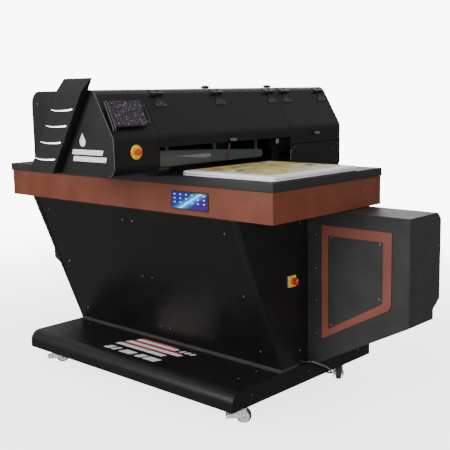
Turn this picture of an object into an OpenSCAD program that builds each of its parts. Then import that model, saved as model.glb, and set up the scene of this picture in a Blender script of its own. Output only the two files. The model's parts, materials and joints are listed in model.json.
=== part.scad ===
// Flatbed UV printer: a moving bed on a long table, a print hood that bridges it,
// a raked body with a long rear housing, and a wheeled base.
// X runs along the table (bed travel), Y across it (print travel), Z up.

/* [Table] */
// Length of the table over its black rim
table_l = 1912; // [1900:4:1930]
// How far the table reaches to the front of its centre line
table_front = 401; // [398:1:404]
// How far the table reaches behind its centre line
table_back = 422; // [418:1:426]
// Height of the table top above the floor
table_z = 1117; // [1112:1:1120]
// Height of the coloured fascia under the rim
fascia_h = 136; // [120:1:140]
// Height of the black rim
rim_h = 40; // [36:1:44]

/* [Base] */
// Length of the foot tray
base_l = 1528; // [1524:2:1534]
// How far the tray reaches to the front of the table's centre line
base_front = 461; // [440:1:480]
// How far the tray reaches behind the table's centre line
base_back = 626; // [600:1:650]
// Depth of the tray's sides
base_h = 90; // [80:1:92]
// Height of the tray's top
base_z = 187; // [186:1:188]

/* [Body] */
// Outer length of the raked body
body_l = 1514; // [1510:2:1518]
// Front of the raked skin at its top edge
skin_top_y = 399; // [395:1:400]
// Front of the raked skin at its foot
skin_foot_y = 102; // [98:1:106]
// Thickness of the sheet metal covers
sheet = 3; // [2:0.5:4]

/* [Rear housing] */
// Length of the rear housing over both ends
housing_l = 2600; // [2500:10:2640]
// Front face of the housing, behind the table's centre line
housing_front = 101; // [100:1:104]
// Rear face of the housing
housing_back = 372; // [366:1:378]
// Height of the low corner at each end
housing_end_z = 452; // [430:1:470]
// Height of the step in the rear face
housing_step_z = 538; // [530:1:546]
// Depth of the step in the rear face
housing_step = 56; // [40:1:58]

/* [Hood] */
// Near end of the hood, in front of the centre line
hood_near = 743; // [735:1:750]
// Far end of the hood, behind the centre line
hood_far = 908; // [900:1:915]
// Back of the hood
hood_back = 212; // [205:1:220]
// Front of the hood
hood_nose = 370; // [365:1:375]
// Height where the front turns from upright to sloped
crease_z = 1298; // [1294:1:1302]
// Front edge of the hood's flat top
brow_x = 246; // [243:1:249]
// Top of the hood
hood_z = 1507; // [1504:1:1510]
// Bottom edge of the hood over the table
hood_floor = 1138; // [1138:1:1139]
// Top of the opening that the bed passes through
mouth_z = 1249; // [1246:1:1252]
// Near side of the opening, in front of the centre line
mouth_near = 478; // [470:1:485]
// Far side of the opening, behind the centre line
mouth_far = 458; // [450:1:465]
// How far the light fin stands out from the near end
fin_out = 40; // [30:1:45]

/* [Bed] */
// Length of the bed along its travel
bed_l = 540; // [530:1:550]
// Width of the bed
bed_w = 616; // [610:1:618]
// How far the middle of the bed lies to the front of the table's centre line
bed_shift = 72; // [66:1:73]
// Thickness of the bed
bed_t = 18; // [16:1:18]

/* [Casters] */
// Radius of a caster wheel
wheel_r = 35; // [34:0.5:35]
// Width of a caster wheel
wheel_w = 26; // [24:0.5:26]
// Trail of a caster: swivel line to axle
trail = 22; // [20:1:24]

/* [Power lead] */
// Diameter of the lead
lead_d = 9; // [8:0.5:9]
// Mean radius of the stored coil
coil_r = 50; // [48:1:52]

/* [Hidden] */
$fn = 48;

// Halfway between the light fin and the hood's far end, so that the origin is under the middle
mid_y = (hood_far - hood_near - fin_out) / 2;
fascia_in = 6;                       // the fascia stands this far inside the rim
fascia_x = table_l / 2 - fascia_in;
fascia_front = table_front - fascia_in;
fascia_back = table_back - fascia_in;
fascia_top = table_z - rim_h;
fascia_z = fascia_top - fascia_h;    // underside of the table
body_x = body_l / 2;
half_l = housing_l / 2;
skin_z = fascia_z;
rake = atan((skin_top_y - skin_foot_y) / (skin_z - base_z));
sheet_run = sheet / cos(rake);       // the raked sheet's thickness, measured along Y
tube = 40;                           // square tube of the table frame
post = 50;                           // square tube of the chassis
top_sheet = 4;
SLOT_Y = [-bed_shift - 150, -bed_shift + 150];   // centre lines of the bed's rails and slots
slot_half = 15;
rail_half = 10;
rail_z = 1060;
rail_h = 18;
block_h = 18;                        // bearing block above the rail
carrier_z = rail_z + rail_h + block_h + 0.3;
bed_z = table_z + 2;
bed_x1 = table_l / 2 - 12;           // bed's rest position is at the operator's end
bed_x0 = bed_x1 - bed_l;
bed_y0 = -bed_shift - bed_w / 2;
bed_y1 = -bed_shift + bed_w / 2;
board_t = 3;
gap = 0.05;                          // running clearance of a pin in its bore
beam_x0 = -120;
beam_x1 = -20;
beam_z0 = 1290;
beam_z1 = 1390;
RAIL_Z = [beam_z0 + 6, beam_z1 - 21];
car_y0 = 640;                        // near side of the parked print carriage
car_y1 = 880;
lamp_w = 50;
head_z = 1148;
belt_z = (beam_z0 + beam_z1) / 2;
pulley_r = 16;
pulley_x = 2;
slope_a = atan2(hood_z - crease_z, hood_nose - brow_x);   // how steeply the front slopes down
brow_r = 48;                         // bend between the top and the slope
brow_t = brow_r * tan(slope_a / 2);
crease_r = 60;                       // bend between the slope and the upright front
crease_t = crease_r * tan((90 - slope_a) / 2);
foot_r = 42;                         // bend between the upright front and the near housing's floor
far_lid_z = 1211;                    // the far lid reaches lower than the main one
hinge_r = 5;
estop_y = -621;
estop_z = 1238;
iso_y = -31;
iso_z = 614;
gland_y = 26;
gland_z = 212;
caster_z = base_z - base_h;          // underside of the base
axle_r = 5;
// swivel centre and the way the wheel trails, for each caster
CASTERS = [[690, -335, 43], [690, 440, -47], [-665, -350, 55], [-690, 440, 30]];
LED_Z = [1200, 1276, 1352, 1428];
fin_z0 = hood_floor;
fin_z1 = 1560;
fin_x0 = -20;                        // foot of the fin's upright edge
fin_x1 = 220;                        // the same edge at the hood's top
fin_w = 235;
// Route of the lead from its gland: over the tray's edge, under the tray, down to the floor,
// and into the lowest turn of its coil
ROUTE = [[780, 26, 212], [792, 26, 213], [805, 31, 217], [816, 47, 215], [822, 73, 204],
    [821, 100, 190], [813, 134, 174], [803, 168, 158], [793, 203, 140], [784, 236, 119],
    [775, 262, 98], [764, 280, 84], [746, 292, 77], [715, 301, 72], [678, 308, 64],
    [640, 315, 50], [600, 322, 31], [555, 329, 13], [505, 333.5, 5], [440, 336, 4.5],
    [360, 335.5, 4.5], [280, 335, 4.5], [200, 334.5, 4.5]];
// Route of its tail from the coil's top turn into the plug's sleeve
TAIL = [[229, 315, 27], [207, 333, 31.5], [196, 343, 31.5], [180, 356, 27], [164, 369.5, 22.5],
    [132, 381, 20], [100, 369.5, 20], [85, 348.5, 20], [80, 332, 20], [80, 322, 20]];
coil_x = 200;
coil_y = 280;
coil_h = 27;

// ---- helpers ----
// Shifts a shape drawn about the table's centre line so that the origin is under the middle
module placed() translate([0, -mid_y, 0]) children();

// A box given by its ranges
module box(x, y, z) translate([x[0], y[0], z[0]])
    cube([x[1] - x[0], y[1] - y[0], z[1] - z[0]]);

// A Y-Z outline pushed along X
module along_x(x) translate([x[0], 0, 0]) rotate([90, 0, 90])
    linear_extrude(x[1] - x[0]) children();

// An X-Z outline pushed along Y
module along_y(y) translate([0, y[1], 0]) rotate([90, 0, 0])
    linear_extrude(y[1] - y[0]) children();

// A cylinder lying along X or Y, given by its range
module rod_x(x, y, z, r) translate([x[0], y, z]) rotate([0, 90, 0]) cylinder(h = x[1] - x[0], r = r);
module rod_y(x, y, z, r) translate([x, y[0], z]) rotate([-90, 0, 0]) cylinder(h = y[1] - y[0], r = r);

// A rectangle with round corners, given by its ranges
module round_rect(u, v, r) {
    translate([u[0] + r, v[0]]) square([u[1] - u[0] - 2 * r, v[1] - v[0]]);
    translate([u[0], v[0] + r]) square([u[1] - u[0], v[1] - v[0] - 2 * r]);
    for (a = [u[0] + r, u[1] - r], b = [v[0] + r, v[1] - r]) translate([a, b]) circle(r);
}

// Points of an arc from angle a to angle b
function arc(c, r, a, b, n = 12) = [for (i = [0:n]) let (t = a + (b - a) * i / n)
    c + r * [cos(t), sin(t)]];

// A solid between two outlines with the same number of corners, the first below the second
module loft(low, high) {
    n = len(low);
    polyhedron(points = concat(low, high),
        faces = concat([[for (i = [0:n - 1]) i]], [[for (i = [n - 1:-1:0]) n + i]],
            [for (i = [0:n - 1]) [i, n + i, n + (i + 1) % n, (i + 1) % n]]));
}

// ---- base and chassis ----
module tray_outline(inset) polygon(concat(
    [[base_back - inset, caster_z - (inset > 0 ? 1 : 0)], [base_back - inset, base_z - inset]],
    arc([-base_front + 55, base_z - 55], 55 - inset, 90, 180),
    [[-base_front + inset, caster_z - (inset > 0 ? 1 : 0)]]));

module base_tray() color([0.13, 0.13, 0.14]) placed() {
    difference() {
        along_x([-base_l / 2, base_l / 2]) tray_outline(0);
        along_x([-base_l / 2 + sheet, base_l / 2 - sheet]) tray_outline(sheet);
    }
    for (x = [-400, 0, 400]) box([x - 20, x + 20], [-400, base_back - 20], [base_z - 40, base_z - sheet]);
    for (c = CASTERS) translate([c[0], c[1], caster_z + 6]) linear_extrude(base_h - 6 - sheet)
        difference() { square(90, center = true); square(78, center = true); }
}

module chassis_frame() color([0.2, 0.2, 0.21]) placed() {
    for (x = [-700, 650]) {
        box([x, x + post], [-50, 0], [base_z, skin_z]);
        box([x, x + post], [240, 290], [base_z, skin_z]);
        box([x, x + post], [-50, 290], [base_z, base_z + post]);
        box([x, x + post], [-345, 290], [skin_z - post, skin_z]);
    }
    box([-700, 700], [-50, 0], [base_z, base_z + post]);
    box([-700, 700], [240, 290], [base_z, base_z + post]);
    box([-700, 700], [-345, -295], [skin_z - post, skin_z]);
    box([-700, 700], [240, 290], [skin_z - post, skin_z]);
}

module caster_plates() color([0.72, 0.72, 0.74]) placed() for (c = CASTERS)
    translate([c[0], c[1], 0]) {
        // a stiffening pad inside the tray carries each plate
        translate([-50, -50, caster_z]) cube([100, 100, 6]);
        translate([0, 0, caster_z - 4]) cylinder(h = 4, r = 24);
        translate([0, 0, 74]) cylinder(h = caster_z - 74, r = 6);
        translate([0, 0, 71]) cylinder(h = 3, r = 9);
        for (x = [-38, 38], y = [-38, 38]) translate([x, y, caster_z - 4]) cylinder(h = 4, r = 6, $fn = 6);
    }

module caster_fork(i) color([0.78, 0.78, 0.8]) placed()
    translate([CASTERS[i][0], CASTERS[i][1], 0]) rotate([0, 0, CASTERS[i][2]]) difference() {
        union() {
            translate([0, 0, 78]) cylinder(h = 14.7, r1 = 27, r2 = 23);
            translate([-20, -22, 74.4]) cube([trail + 30, 44, 4]);
            for (s = [-1, 1]) translate([0, s * 20 - 2, 0]) {
                rotate([90, 0, 0]) translate([0, 0, -4]) linear_extrude(4)
                    polygon([[-18, 78.4], [trail + 10, 78.4], [trail + 13, wheel_r],
                        [trail + 8, wheel_r - 11], [trail - 8, wheel_r - 11], [trail - 13, wheel_r]]);
            }
            translate([trail, -24, wheel_r]) rotate([-90, 0, 0]) cylinder(h = 48, r = axle_r);
            for (s = [-1, 1]) translate([trail, s * 25.5 - 2.5, wheel_r]) rotate([-90, 0, 0])
                cylinder(h = 5, r = 8, $fn = 6);
            // brake pedal on the leading side
            translate([-62, -20, 36]) rotate([0, -8, 0]) cube([38, 40, 5]);
            for (s = [-1, 1]) translate([-30, s * 18 - 2, 36]) cube([26, 4, 22]);
        }
        translate([0, 0, 60]) cylinder(h = 40, r = 6 + gap);
    }

module caster_wheel(i) color([0.25, 0.25, 0.26]) placed()
    translate([CASTERS[i][0], CASTERS[i][1], 0]) rotate([0, 0, CASTERS[i][2]])
    translate([trail, 0, wheel_r]) rotate([90, 0, 0]) rotate_extrude() polygon([
        [axle_r + gap, -wheel_w / 2 - 3], [14, -wheel_w / 2 - 3], [16, -wheel_w / 2 + 4],
        [wheel_r - 10, -wheel_w / 2 + 2], [wheel_r - 4, -wheel_w / 2], [wheel_r, -wheel_w / 2 + 5],
        [wheel_r, wheel_w / 2 - 5], [wheel_r - 4, wheel_w / 2], [wheel_r - 10, wheel_w / 2 - 2],
        [16, wheel_w / 2 - 4], [14, wheel_w / 2 + 3], [axle_r + gap, wheel_w / 2 + 3]]);

module caster_fork_front_right() caster_fork(0);
module caster_fork_rear_right() caster_fork(1);
module caster_fork_front_left() caster_fork(2);
module caster_fork_rear_left() caster_fork(3);
module caster_wheel_front_right() caster_wheel(0);
module caster_wheel_rear_right() caster_wheel(1);
module caster_wheel_front_left() caster_wheel(2);
module caster_wheel_rear_left() caster_wheel(3);

// ---- body ----
// Front edge of the raked skin at a height, moved back by a distance
function skin_y(z, back = 0) =
    -skin_foot_y - (skin_top_y - skin_foot_y) * (z - base_z) / (skin_z - base_z) + back;

module raked_sheet(x) along_x(x) polygon([[skin_y(base_z), base_z], [skin_y(skin_z), skin_z],
    [skin_y(skin_z, sheet_run), skin_z], [skin_y(base_z, sheet_run), base_z]]);

module front_skin_left() color([0.12, 0.12, 0.13]) placed() raked_sheet([-body_x, -1]);
module front_skin_right() color([0.12, 0.12, 0.13]) placed() raked_sheet([1, body_x]);

module side_skins() color([0.11, 0.11, 0.12]) placed() for (s = [-1, 1]) difference() {
    along_x(s > 0 ? [body_x - sheet, body_x] : [-body_x, -body_x + sheet])
        polygon([[skin_y(base_z, sheet_run), base_z], [skin_y(skin_z, sheet_run), skin_z],
            [housing_front - 0.5, skin_z], [housing_front - 0.5, base_z]]);
    if (s > 0) {
        rod_x([body_x - 10, body_x + 10], iso_y, iso_z, 5 + gap);
        rod_x([body_x - 10, body_x + 10], gland_y, gland_z, 10);
    }
}

// The housing's rear face, with its step
module rear_outline(inset) polygon([[housing_front + inset, base_z - 1],
    [housing_front + inset, skin_z - 3 - inset], [housing_back - 30, skin_z - 3 - inset],
    [housing_back - inset, skin_z - 33], [housing_back - inset, housing_step_z + inset / 2],
    [housing_back - housing_step - inset, housing_step_z - 40 + inset / 2],
    [housing_back - housing_step - inset, base_z - 1]]);

module rear_skin() color([0.12, 0.12, 0.13]) placed() difference() {
    along_x([-body_x, body_x]) intersection() {
        difference() { rear_outline(0); rear_outline(sheet); }
        translate([housing_back - 75, base_z]) square([100, skin_z - 3 - base_z]);
    }
    for (x = [-450:100:450], z = [620:30:860])
        box([x - 35, x + 35], [housing_back - 10, housing_back + 10], [z - 4, z + 4]);
}

module end_outline(s, inset) polygon([for (p = [[body_x, base_z + inset], [body_x + 40, base_z + inset],
    [half_l - inset, housing_end_z + inset * 0.6], [half_l - inset, skin_z + 5], [body_x, skin_z + 5]])
    [s * p[0], p[1]]]);

module housing_shell(s) difference() {
    intersection() {
        along_x(s > 0 ? [body_x, half_l] : [-half_l, -body_x]) rear_outline(0);
        along_y([0, housing_back + 10]) end_outline(s, 0);
    }
    intersection() {
        along_x(s > 0 ? [body_x - 1, half_l + 1] : [-half_l - 1, -body_x + 1]) rear_outline(sheet);
        along_y([0, housing_back + 10]) union() {
            end_outline(s, sheet);
            translate([s > 0 ? body_x - 1 : -body_x - 3, base_z + sheet]) square([4, skin_z - base_z]);
        }
    }
}
module housing_left() color([0.15, 0.15, 0.16]) placed() housing_shell(-1);
module housing_right() color([0.15, 0.15, 0.16]) placed() housing_shell(1);

// Outline of the window in the housing's front face, grown by a distance
module window(s, grow) polygon([for (p = [[836 + 34 - grow, 316 + 50 - grow],
    [1170 + grow, 523 + 22 - grow * 0.6], [1170 + grow, 866 - 34 + grow], [836 + 34 - grow, 866 - 34 + grow]])
    [s * p[0], p[1]]]);

module access_panels() color([0.2, 0.2, 0.21]) placed() for (s = [-1, 1])
    along_y([housing_front - 2, housing_front]) window(s, 0);
module trim_frames() color([0.5, 0.27, 0.2]) placed() for (s = [-1, 1])
    along_y([housing_front - 4, housing_front]) difference() { window(s, 34); window(s, 0.3); }

// ---- table ----
// Plan of the table inside its fascia, at an inset
module table_plan(inset) translate([-fascia_x + inset, -fascia_front + inset])
    square([2 * (fascia_x - inset), fascia_front + fascia_back - 2 * inset]);

module fascia_pan() color([0.5, 0.26, 0.19]) placed() difference() {
    translate([0, 0, fascia_z]) linear_extrude(fascia_h) table_plan(0);
    translate([0, 0, fascia_z + sheet]) linear_extrude(fascia_h) table_plan(sheet);
}

module table_frame() color([0.25, 0.25, 0.27]) placed() {
    x1 = fascia_x - 6;
    y0 = -fascia_front + 6;
    y1 = fascia_back - 6;
    z0 = fascia_z + sheet;
    z1 = table_z - top_sheet;
    for (y = [y0, y1 - tube]) {
        box([-x1, x1], [y, y + tube], [z1 - tube, z1]);
        box([-x1, x1], [y, y + tube], [z0, z0 + tube]);
        for (x = [-x1, -tube / 2, x1 - tube]) box([x, x + tube], [y, y + tube], [z0, z1]);
    }
    for (x = [-x1, x1 - tube]) box([x, x + tube], [y0, y1], [z1 - tube, z1]);
    for (y = SLOT_Y) box([-x1 + tube, x1 - tube], [y - 20, y + 20], [z0, rail_z]);
    for (x = [-x1, -500, -tube / 2, 500 - tube, x1 - tube]) box([x, x + tube], [y0, y1], [z0, z0 + tube]);
}

module table_rim() color([0.2, 0.2, 0.21]) placed() difference() {
    box([-table_l / 2, table_l / 2], [-table_front, table_back], [fascia_top, table_z]);
    translate([0, 0, fascia_top - 1]) linear_extrude(rim_h + 2) table_plan(sheet);
}

module table_top() color([0.1, 0.1, 0.11]) placed() translate([0, 0, table_z - top_sheet])
    linear_extrude(top_sheet) difference() {
        table_plan(sheet);
        for (y = SLOT_Y) round_rect([-905, 905], [y - slot_half, y + slot_half], 14);
    }

module touch_bezel() color([0.08, 0.08, 0.09]) placed() along_y([-fascia_front - 4, -fascia_front])
    round_rect([349, 585], [965, 1050], 5);
module touch_screen() color([0.1, 0.3, 0.7]) placed() along_y([-fascia_front - 5, -fascia_front - 4])
    round_rect([355, 579], [971, 1044], 2);

// ---- bed and its drive ----
module bed_track() color([0.7, 0.7, 0.72]) placed() {
    for (y = SLOT_Y) along_x([-895, 895]) translate([y, rail_z])
        polygon([[-rail_half, 0], [rail_half, 0], [rail_half, 5], [6, 9], [rail_half, 13],
            [rail_half, rail_h], [-rail_half, rail_h], [-rail_half, 13], [-6, 9], [-rail_half, 5]]);
    // magnets of the linear motor that drives the bed
    floor_z = fascia_z + sheet + tube;
    box([-850, 850], [-bed_shift - 40, -bed_shift + 40], [floor_z, floor_z + 8]);
    for (x = [-840:60:810])
        box([x, x + 40], [-bed_shift - 30, -bed_shift + 30], [floor_z + 8, floor_z + 14]);
}

module bed_carriage() color([0.62, 0.63, 0.65]) placed() {
    top = carrier_z + 8;
    for (x = [bed_x0 + 60, bed_x1 - 130], y = SLOT_Y) difference() {
        box([x, x + 70], [y - 24, y + 24], [rail_z + 2, carrier_z]);
        box([x - 1, x + 71], [y - rail_half - 0.3, y + rail_half + 0.3],
            [rail_z, rail_z + rail_h + 0.3]);
    }
    box([bed_x0 + 50, bed_x1 - 50], [SLOT_Y[0] - 25, SLOT_Y[1] + 25], [carrier_z, top]);
    box([bed_x0 + 150, bed_x1 - 150], [-bed_shift - 28, -bed_shift + 28],
        [fascia_z + sheet + tube + 17, carrier_z]);
    for (x = [bed_x0 + 80, bed_x1 - 120], y = SLOT_Y)
        box([x, x + 40], [y - 10, y + 10], [top, bed_z]);
}

module bed_plate() color([0.92, 0.92, 0.92]) placed() translate([0, 0, bed_z]) linear_extrude(bed_t)
    round_rect([bed_x0, bed_x1], [bed_y0, bed_y1], 18);

module print_board() color([0.6, 0.7, 0.4]) placed() translate([0, 0, bed_z + bed_t])
    linear_extrude(board_t) round_rect([bed_x0 + 5, bed_x1 - 5], [bed_y0 + 5, bed_y1 - 5], 14);

// ---- gantry and print carriage ----
// One upright stands on the rim outside the bed's near edge, the other beyond its far edge
module gantry_uprights() color([0.3, 0.3, 0.32]) placed() {
    box([-115, -25], [bed_y0 - 18, bed_y0 - 6], [table_z, beam_z0]);
    box([-150, 10], [-table_front, bed_y0 - 6], [table_z, table_z + 12]);
    box([-115, -25], [350, 380], [table_z, beam_z0]);
    box([-150, 10], [345, 385], [table_z, table_z + 12]);
}

module gantry_beam() color([0.4, 0.4, 0.43]) placed() difference() {
    box([beam_x0, beam_x1], [-hood_near + 13, hood_far - 13], [beam_z0, beam_z1]);
    box([beam_x0 + 6, beam_x1 - 6], [-hood_near, hood_far], [beam_z0 + 6, beam_z1 - 6]);
}

module carriage_rails() color([0.75, 0.75, 0.77]) placed() for (z = RAIL_Z)
    box([beam_x1, beam_x1 + 14], [-hood_near + 20, hood_far - 20], [z, z + 15]);

module print_carriage() color([0.16, 0.16, 0.17]) placed() {
    c0 = car_y0 + lamp_w;
    c1 = car_y1 - lamp_w;
    x0 = 32;
    for (z = RAIL_Z, y = [c0, c1 - 50]) difference() {
        box([beam_x1 + 6, x0], [y, y + 50], [z - 8, z + 23]);
        box([beam_x1, beam_x1 + 14.3], [y - 1, y + 51], [z - 0.3, z + 15.3]);
    }
    box([x0, x0 + 10], [c0, c1], [1170, 1420]);
    box([x0 + 10, 232], [c0, c1], [1176, 1190]);
    for (y = [c0, c1 - 3]) along_y([y, y + 3]) polygon([[x0 + 10, 1190], [232, 1190], [232, 1330],
        [190, 1400], [x0 + 10, 1400]]);
    box([229, 232], [c0 + 3, c1 - 3], [1190, 1330]);
    // clamp for the belt's lower run
    box([pulley_x - 4, x0], [(c0 + c1) / 2 - 15, (c0 + c1) / 2 + 15],
        [belt_z - pulley_r - 9, belt_z - pulley_r - 2.6]);
}

module print_heads() color([0.3, 0.32, 0.34]) placed() for (x = [60, 118, 176])
    box([x, x + 38], [car_y0 + lamp_w + 15, car_y1 - lamp_w - 15], [head_z, 1176]);

module uv_lamps() color([0.5, 0.5, 0.53]) placed() for (y = [car_y0, car_y1 - lamp_w]) {
    box([70, 220], [y, y + lamp_w], [head_z + 4, 1240]);
    for (x = [80:14:206]) box([x, x + 5], [y + 5, y + lamp_w - 5], [1240, 1262]);
}

module carriage_belt() color([0.08, 0.08, 0.09]) placed() {
    for (s = [-1, 1]) box([pulley_x - 4, pulley_x + 4], [-hood_near + 60, hood_far - 60],
        s > 0 ? [belt_z + pulley_r + 0.3, belt_z + pulley_r + 2.3]
            : [belt_z - pulley_r - 2.3, belt_z - pulley_r - 0.3]);
    for (s = [-1, 1]) translate([pulley_x + 4, s > 0 ? hood_far - 60 : -hood_near + 60, belt_z])
        rotate([0, -90, 0]) linear_extrude(8) intersection() {
            difference() { circle(pulley_r + 2.3); circle(pulley_r + 0.3); }
            translate([-30, s > 0 ? 0 : -30]) square([60, 30]);
        }
}

module pulley(y) difference() {
    union() {
        rod_x([pulley_x - 5, pulley_x + 5], y, belt_z, pulley_r);
        rod_x([pulley_x + 5, pulley_x + 7], y, belt_z, pulley_r + 3);
    }
    rod_x([pulley_x - 20, pulley_x + 20], y, belt_z, 4 + gap);
}
module drive_pulley() color([0.7, 0.7, 0.72]) placed() pulley(-hood_near + 60);
module idler_pulley() color([0.7, 0.7, 0.72]) placed() pulley(hood_far - 60);

module belt_motor() color([0.12, 0.12, 0.13]) placed() {
    // the motor's body stands in front of the belt, its shaft reaches back through the pulley
    y = -hood_near + 60;
    box([16, 96], [y - 30, y + 30], [belt_z - 30, belt_z + 30]);
    rod_x([beam_x1, 16], y, belt_z, 4);
    rod_x([beam_x1, 16], hood_far - 60, belt_z, 4);
    box([10, 16], [hood_far - 72, hood_far - 48], [belt_z - 12, belt_z + 12]);
}

module capping_station() color([0.22, 0.22, 0.24]) placed() {
    box([50, 226], [car_y0 + lamp_w + 5, car_y1 - lamp_w - 5], [1083, 1136]);
    for (x = [58, 116, 174]) box([x, x + 42], [car_y0 + lamp_w + 11, car_y1 - lamp_w - 11], [1136, 1146]);
}

module ink_tanks() color([0.2, 0.45, 0.7]) placed() for (x = [-170, -110], y = [-700, -635, -570, -505]) {
    translate([x, y, hood_floor + sheet]) cylinder(h = 105, r = 24);
    translate([x, y, hood_floor + sheet + 105]) cylinder(h = 22, r = 12);
}

// ---- hood ----
back_r = 60;

// Where the brow ends and the lids begin, and a point a distance down the slope and out from it
slope_top = [brow_x + brow_t * cos(slope_a), hood_z - brow_t * sin(slope_a)];
function on_slope(u, v) = slope_top + u * [cos(slope_a), -sin(slope_a)] + v * [sin(slope_a), cos(slope_a)];

function backwards(p) = [for (i = [len(p) - 1:-1:0]) p[i]];
function brow(r, from = 90) = arc([brow_x - brow_t, hood_z - brow_r], r, from, 90 - slope_a);

// Outline of the hood over the back and along the top, at an inset
function hood_path(i) = concat([[-hood_back + i, hood_floor]],
    arc([-hood_back + back_r, hood_z - back_r], back_r - i, 180, 90), brow(brow_r - i));

// Outline of the front below the brow, down to a height, at an inset
function front_path(i, low) = concat(
    arc([hood_nose - crease_r, crease_z - crease_t], crease_r - i, 90 - slope_a, 0),
    [[hood_nose - i, low]]);

module hood_cover() color([0.13, 0.13, 0.14]) placed() difference() {
    along_y([-hood_near + sheet, hood_far - sheet])
        polygon(concat(hood_path(0), backwards(hood_path(sheet))));
    // the bed and what lies on it pass under the back edge
    box([-hood_back - 5, -hood_back + 10], [-mouth_near, mouth_far], [hood_floor - 1, hood_floor + 40]);
    for (y = [-300:60:300]) along_y([y - 20, y + 20])
        translate([-hood_back, 1420]) square([20, 6], center = true);
}

module hood_brackets() color([0.45, 0.45, 0.47]) placed() for (y = [-640, 0, 600]) {
    box([-hood_back + sheet, beam_x0], [y, y + 40], [beam_z0 + 10, beam_z0 + 16]);
    box([beam_x0 + 20, beam_x0 + 26], [y, y + 40], [beam_z1, hood_z - sheet]);
}

// An end plate's outline, with a round or a square lower front corner
module end_profile(floor_z, corner_r) polygon(concat([[-hood_back, floor_z]],
    arc([-hood_back + back_r, hood_z - back_r], back_r, 180, 90), brow(brow_r),
    front_path(0, floor_z + corner_r),
    corner_r > 0 ? arc([hood_nose - corner_r, floor_z + corner_r], corner_r, 0, -90) : []));

// A bent front sheet: sloped, then upright down to a height
module front_sheet(y, low, top_gap = 2.4) along_y(y) polygon(concat([on_slope(top_gap, 0)],
    front_path(0, low), backwards(front_path(sheet, low)), [on_slope(top_gap, -sheet)]));

module near_housing() color([0.13, 0.13, 0.14]) placed() difference() {
    union() {
        along_y([-hood_near, -hood_near + sheet]) end_profile(hood_floor, foot_r);
        front_sheet([-hood_near + sheet, -mouth_near], hood_floor + foot_r - 1, 0.1);
        box([-hood_back + sheet, hood_nose - foot_r + 1], [-hood_near + sheet, -mouth_near],
            [hood_floor, hood_floor + sheet]);
        along_y([-hood_near + sheet, -mouth_near]) polygon(concat(
            arc([hood_nose - foot_r, hood_floor + foot_r], foot_r, 0, -90),
            arc([hood_nose - foot_r, hood_floor + foot_r], foot_r - sheet, -90, 0)));
    }
    rod_x([hood_nose - 20, hood_nose + 20], estop_y, estop_z, 8 + gap);
}

module far_housing() color([0.13, 0.13, 0.14]) placed() {
    low = 1080;
    along_y([hood_far - sheet, hood_far]) end_profile(low, 0);
    box([-hood_back, hood_nose], [mouth_far, hood_far - sheet], [low, low + sheet]);
    box([hood_nose - sheet, hood_nose], [mouth_far, hood_far - sheet], [low + sheet, far_lid_z - 3]);
    box([-hood_back, -hood_back + sheet], [mouth_far, hood_far - sheet], [low + sheet, hood_floor]);
    box([-hood_back + sheet, hood_nose - sheet], [mouth_far, mouth_far + sheet], [low + sheet, hood_floor]);
}

module uv_shield() color([0.35, 0.42, 0.4, 0.6]) placed() {
    along_y([-mouth_near + 60, 310]) translate([300, 1152]) square([4, 76]);
    for (y = [-380, -60, 250]) box([296, 300], [y, y + 20], [1200, 1300]);
    box([240, 300], [-mouth_near + 3, mouth_far - 3], [1300, 1306]);
    // side plates hang the header from the brow, in front of the print carriage's path
    for (y = [-mouth_near, mouth_far - 3]) along_y([y, y + 3]) polygon([[238, 1300], [300, 1300],
        [300, 1330], [246, hood_z - 19], [238, hood_z - 10]]);
}

// Where the knuckles stand along each lid
MAIN_KNUCKLES = [-390, 10, 410];
FAR_KNUCKLES = [536, 844];
pin_at = on_slope(3, 8.6);

// A lid with its knuckles and grip, hung from the brow
module lid(y, low, knuckles, grip_y) {
    front_sheet(y, low);
    for (k = knuckles) difference() {
        along_y([k - 18, k + 18]) {
            translate(pin_at) circle(hinge_r + 3);
            polygon([on_slope(3, -1), on_slope(34, -1), on_slope(34, 3), on_slope(16, 3), on_slope(10, 10)]);
        }
        rod_y(pin_at[0], [k - 30, k + 30], pin_at[1], hinge_r + gap);
    }
    along_y([grip_y - 28, grip_y + 28]) polygon([[hood_nose - 1, 1268], [hood_nose + 9, 1265],
        [hood_nose + 10, 1256], [hood_nose - 1, 1253]]);
}

// Fixed leaves on the brow, each with the pin that a lid's knuckle turns on
module lid_hinges() color([0.2, 0.2, 0.21]) placed() for (k = concat(MAIN_KNUCKLES, FAR_KNUCKLES)) {
    rod_y(pin_at[0], [k - 34, k + 34], pin_at[1], hinge_r);
    for (y = [k - 34, k + 19]) along_y([y, y + 15]) {
        translate(pin_at) circle(hinge_r + 3);
        polygon(concat(brow(brow_r + 0.1, 64), [on_slope(1, 1), on_slope(8, 8), on_slope(-2, 13)],
            backwards(brow(brow_r + 3, 64))));
    }
}

module lid_main() color([0.13, 0.13, 0.14]) placed()
    lid([-mouth_near + 2, mouth_far - 1], mouth_z, MAIN_KNUCKLES, 0);
module lid_far() color([0.13, 0.13, 0.14]) placed()
    lid([mouth_far + 1, hood_far - sheet - 1], far_lid_z, FAR_KNUCKLES, 680);

// Where the fin's upright edge stands at a height
function fin_edge(z) = fin_x0 + (fin_x1 - fin_x0) * (z - fin_z0) / (hood_z - fin_z0);
// A slice of the fin's wedge at a height, between two shares of its width and two offsets
// from its sloping outer face; the inner side lies on the end plate where inner is false
function fin_slice(z, a, b, inner, outer) = [for (p = [[a, inner ? a * fin_out + 0.1 : 0],
    [a, a * fin_out + outer], [b, b * fin_out + outer], [b, inner ? b * fin_out + 0.1 : 0]])
    [fin_edge(z) - fin_w + p[0] * fin_w, -hood_near - p[1], z]];

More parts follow.
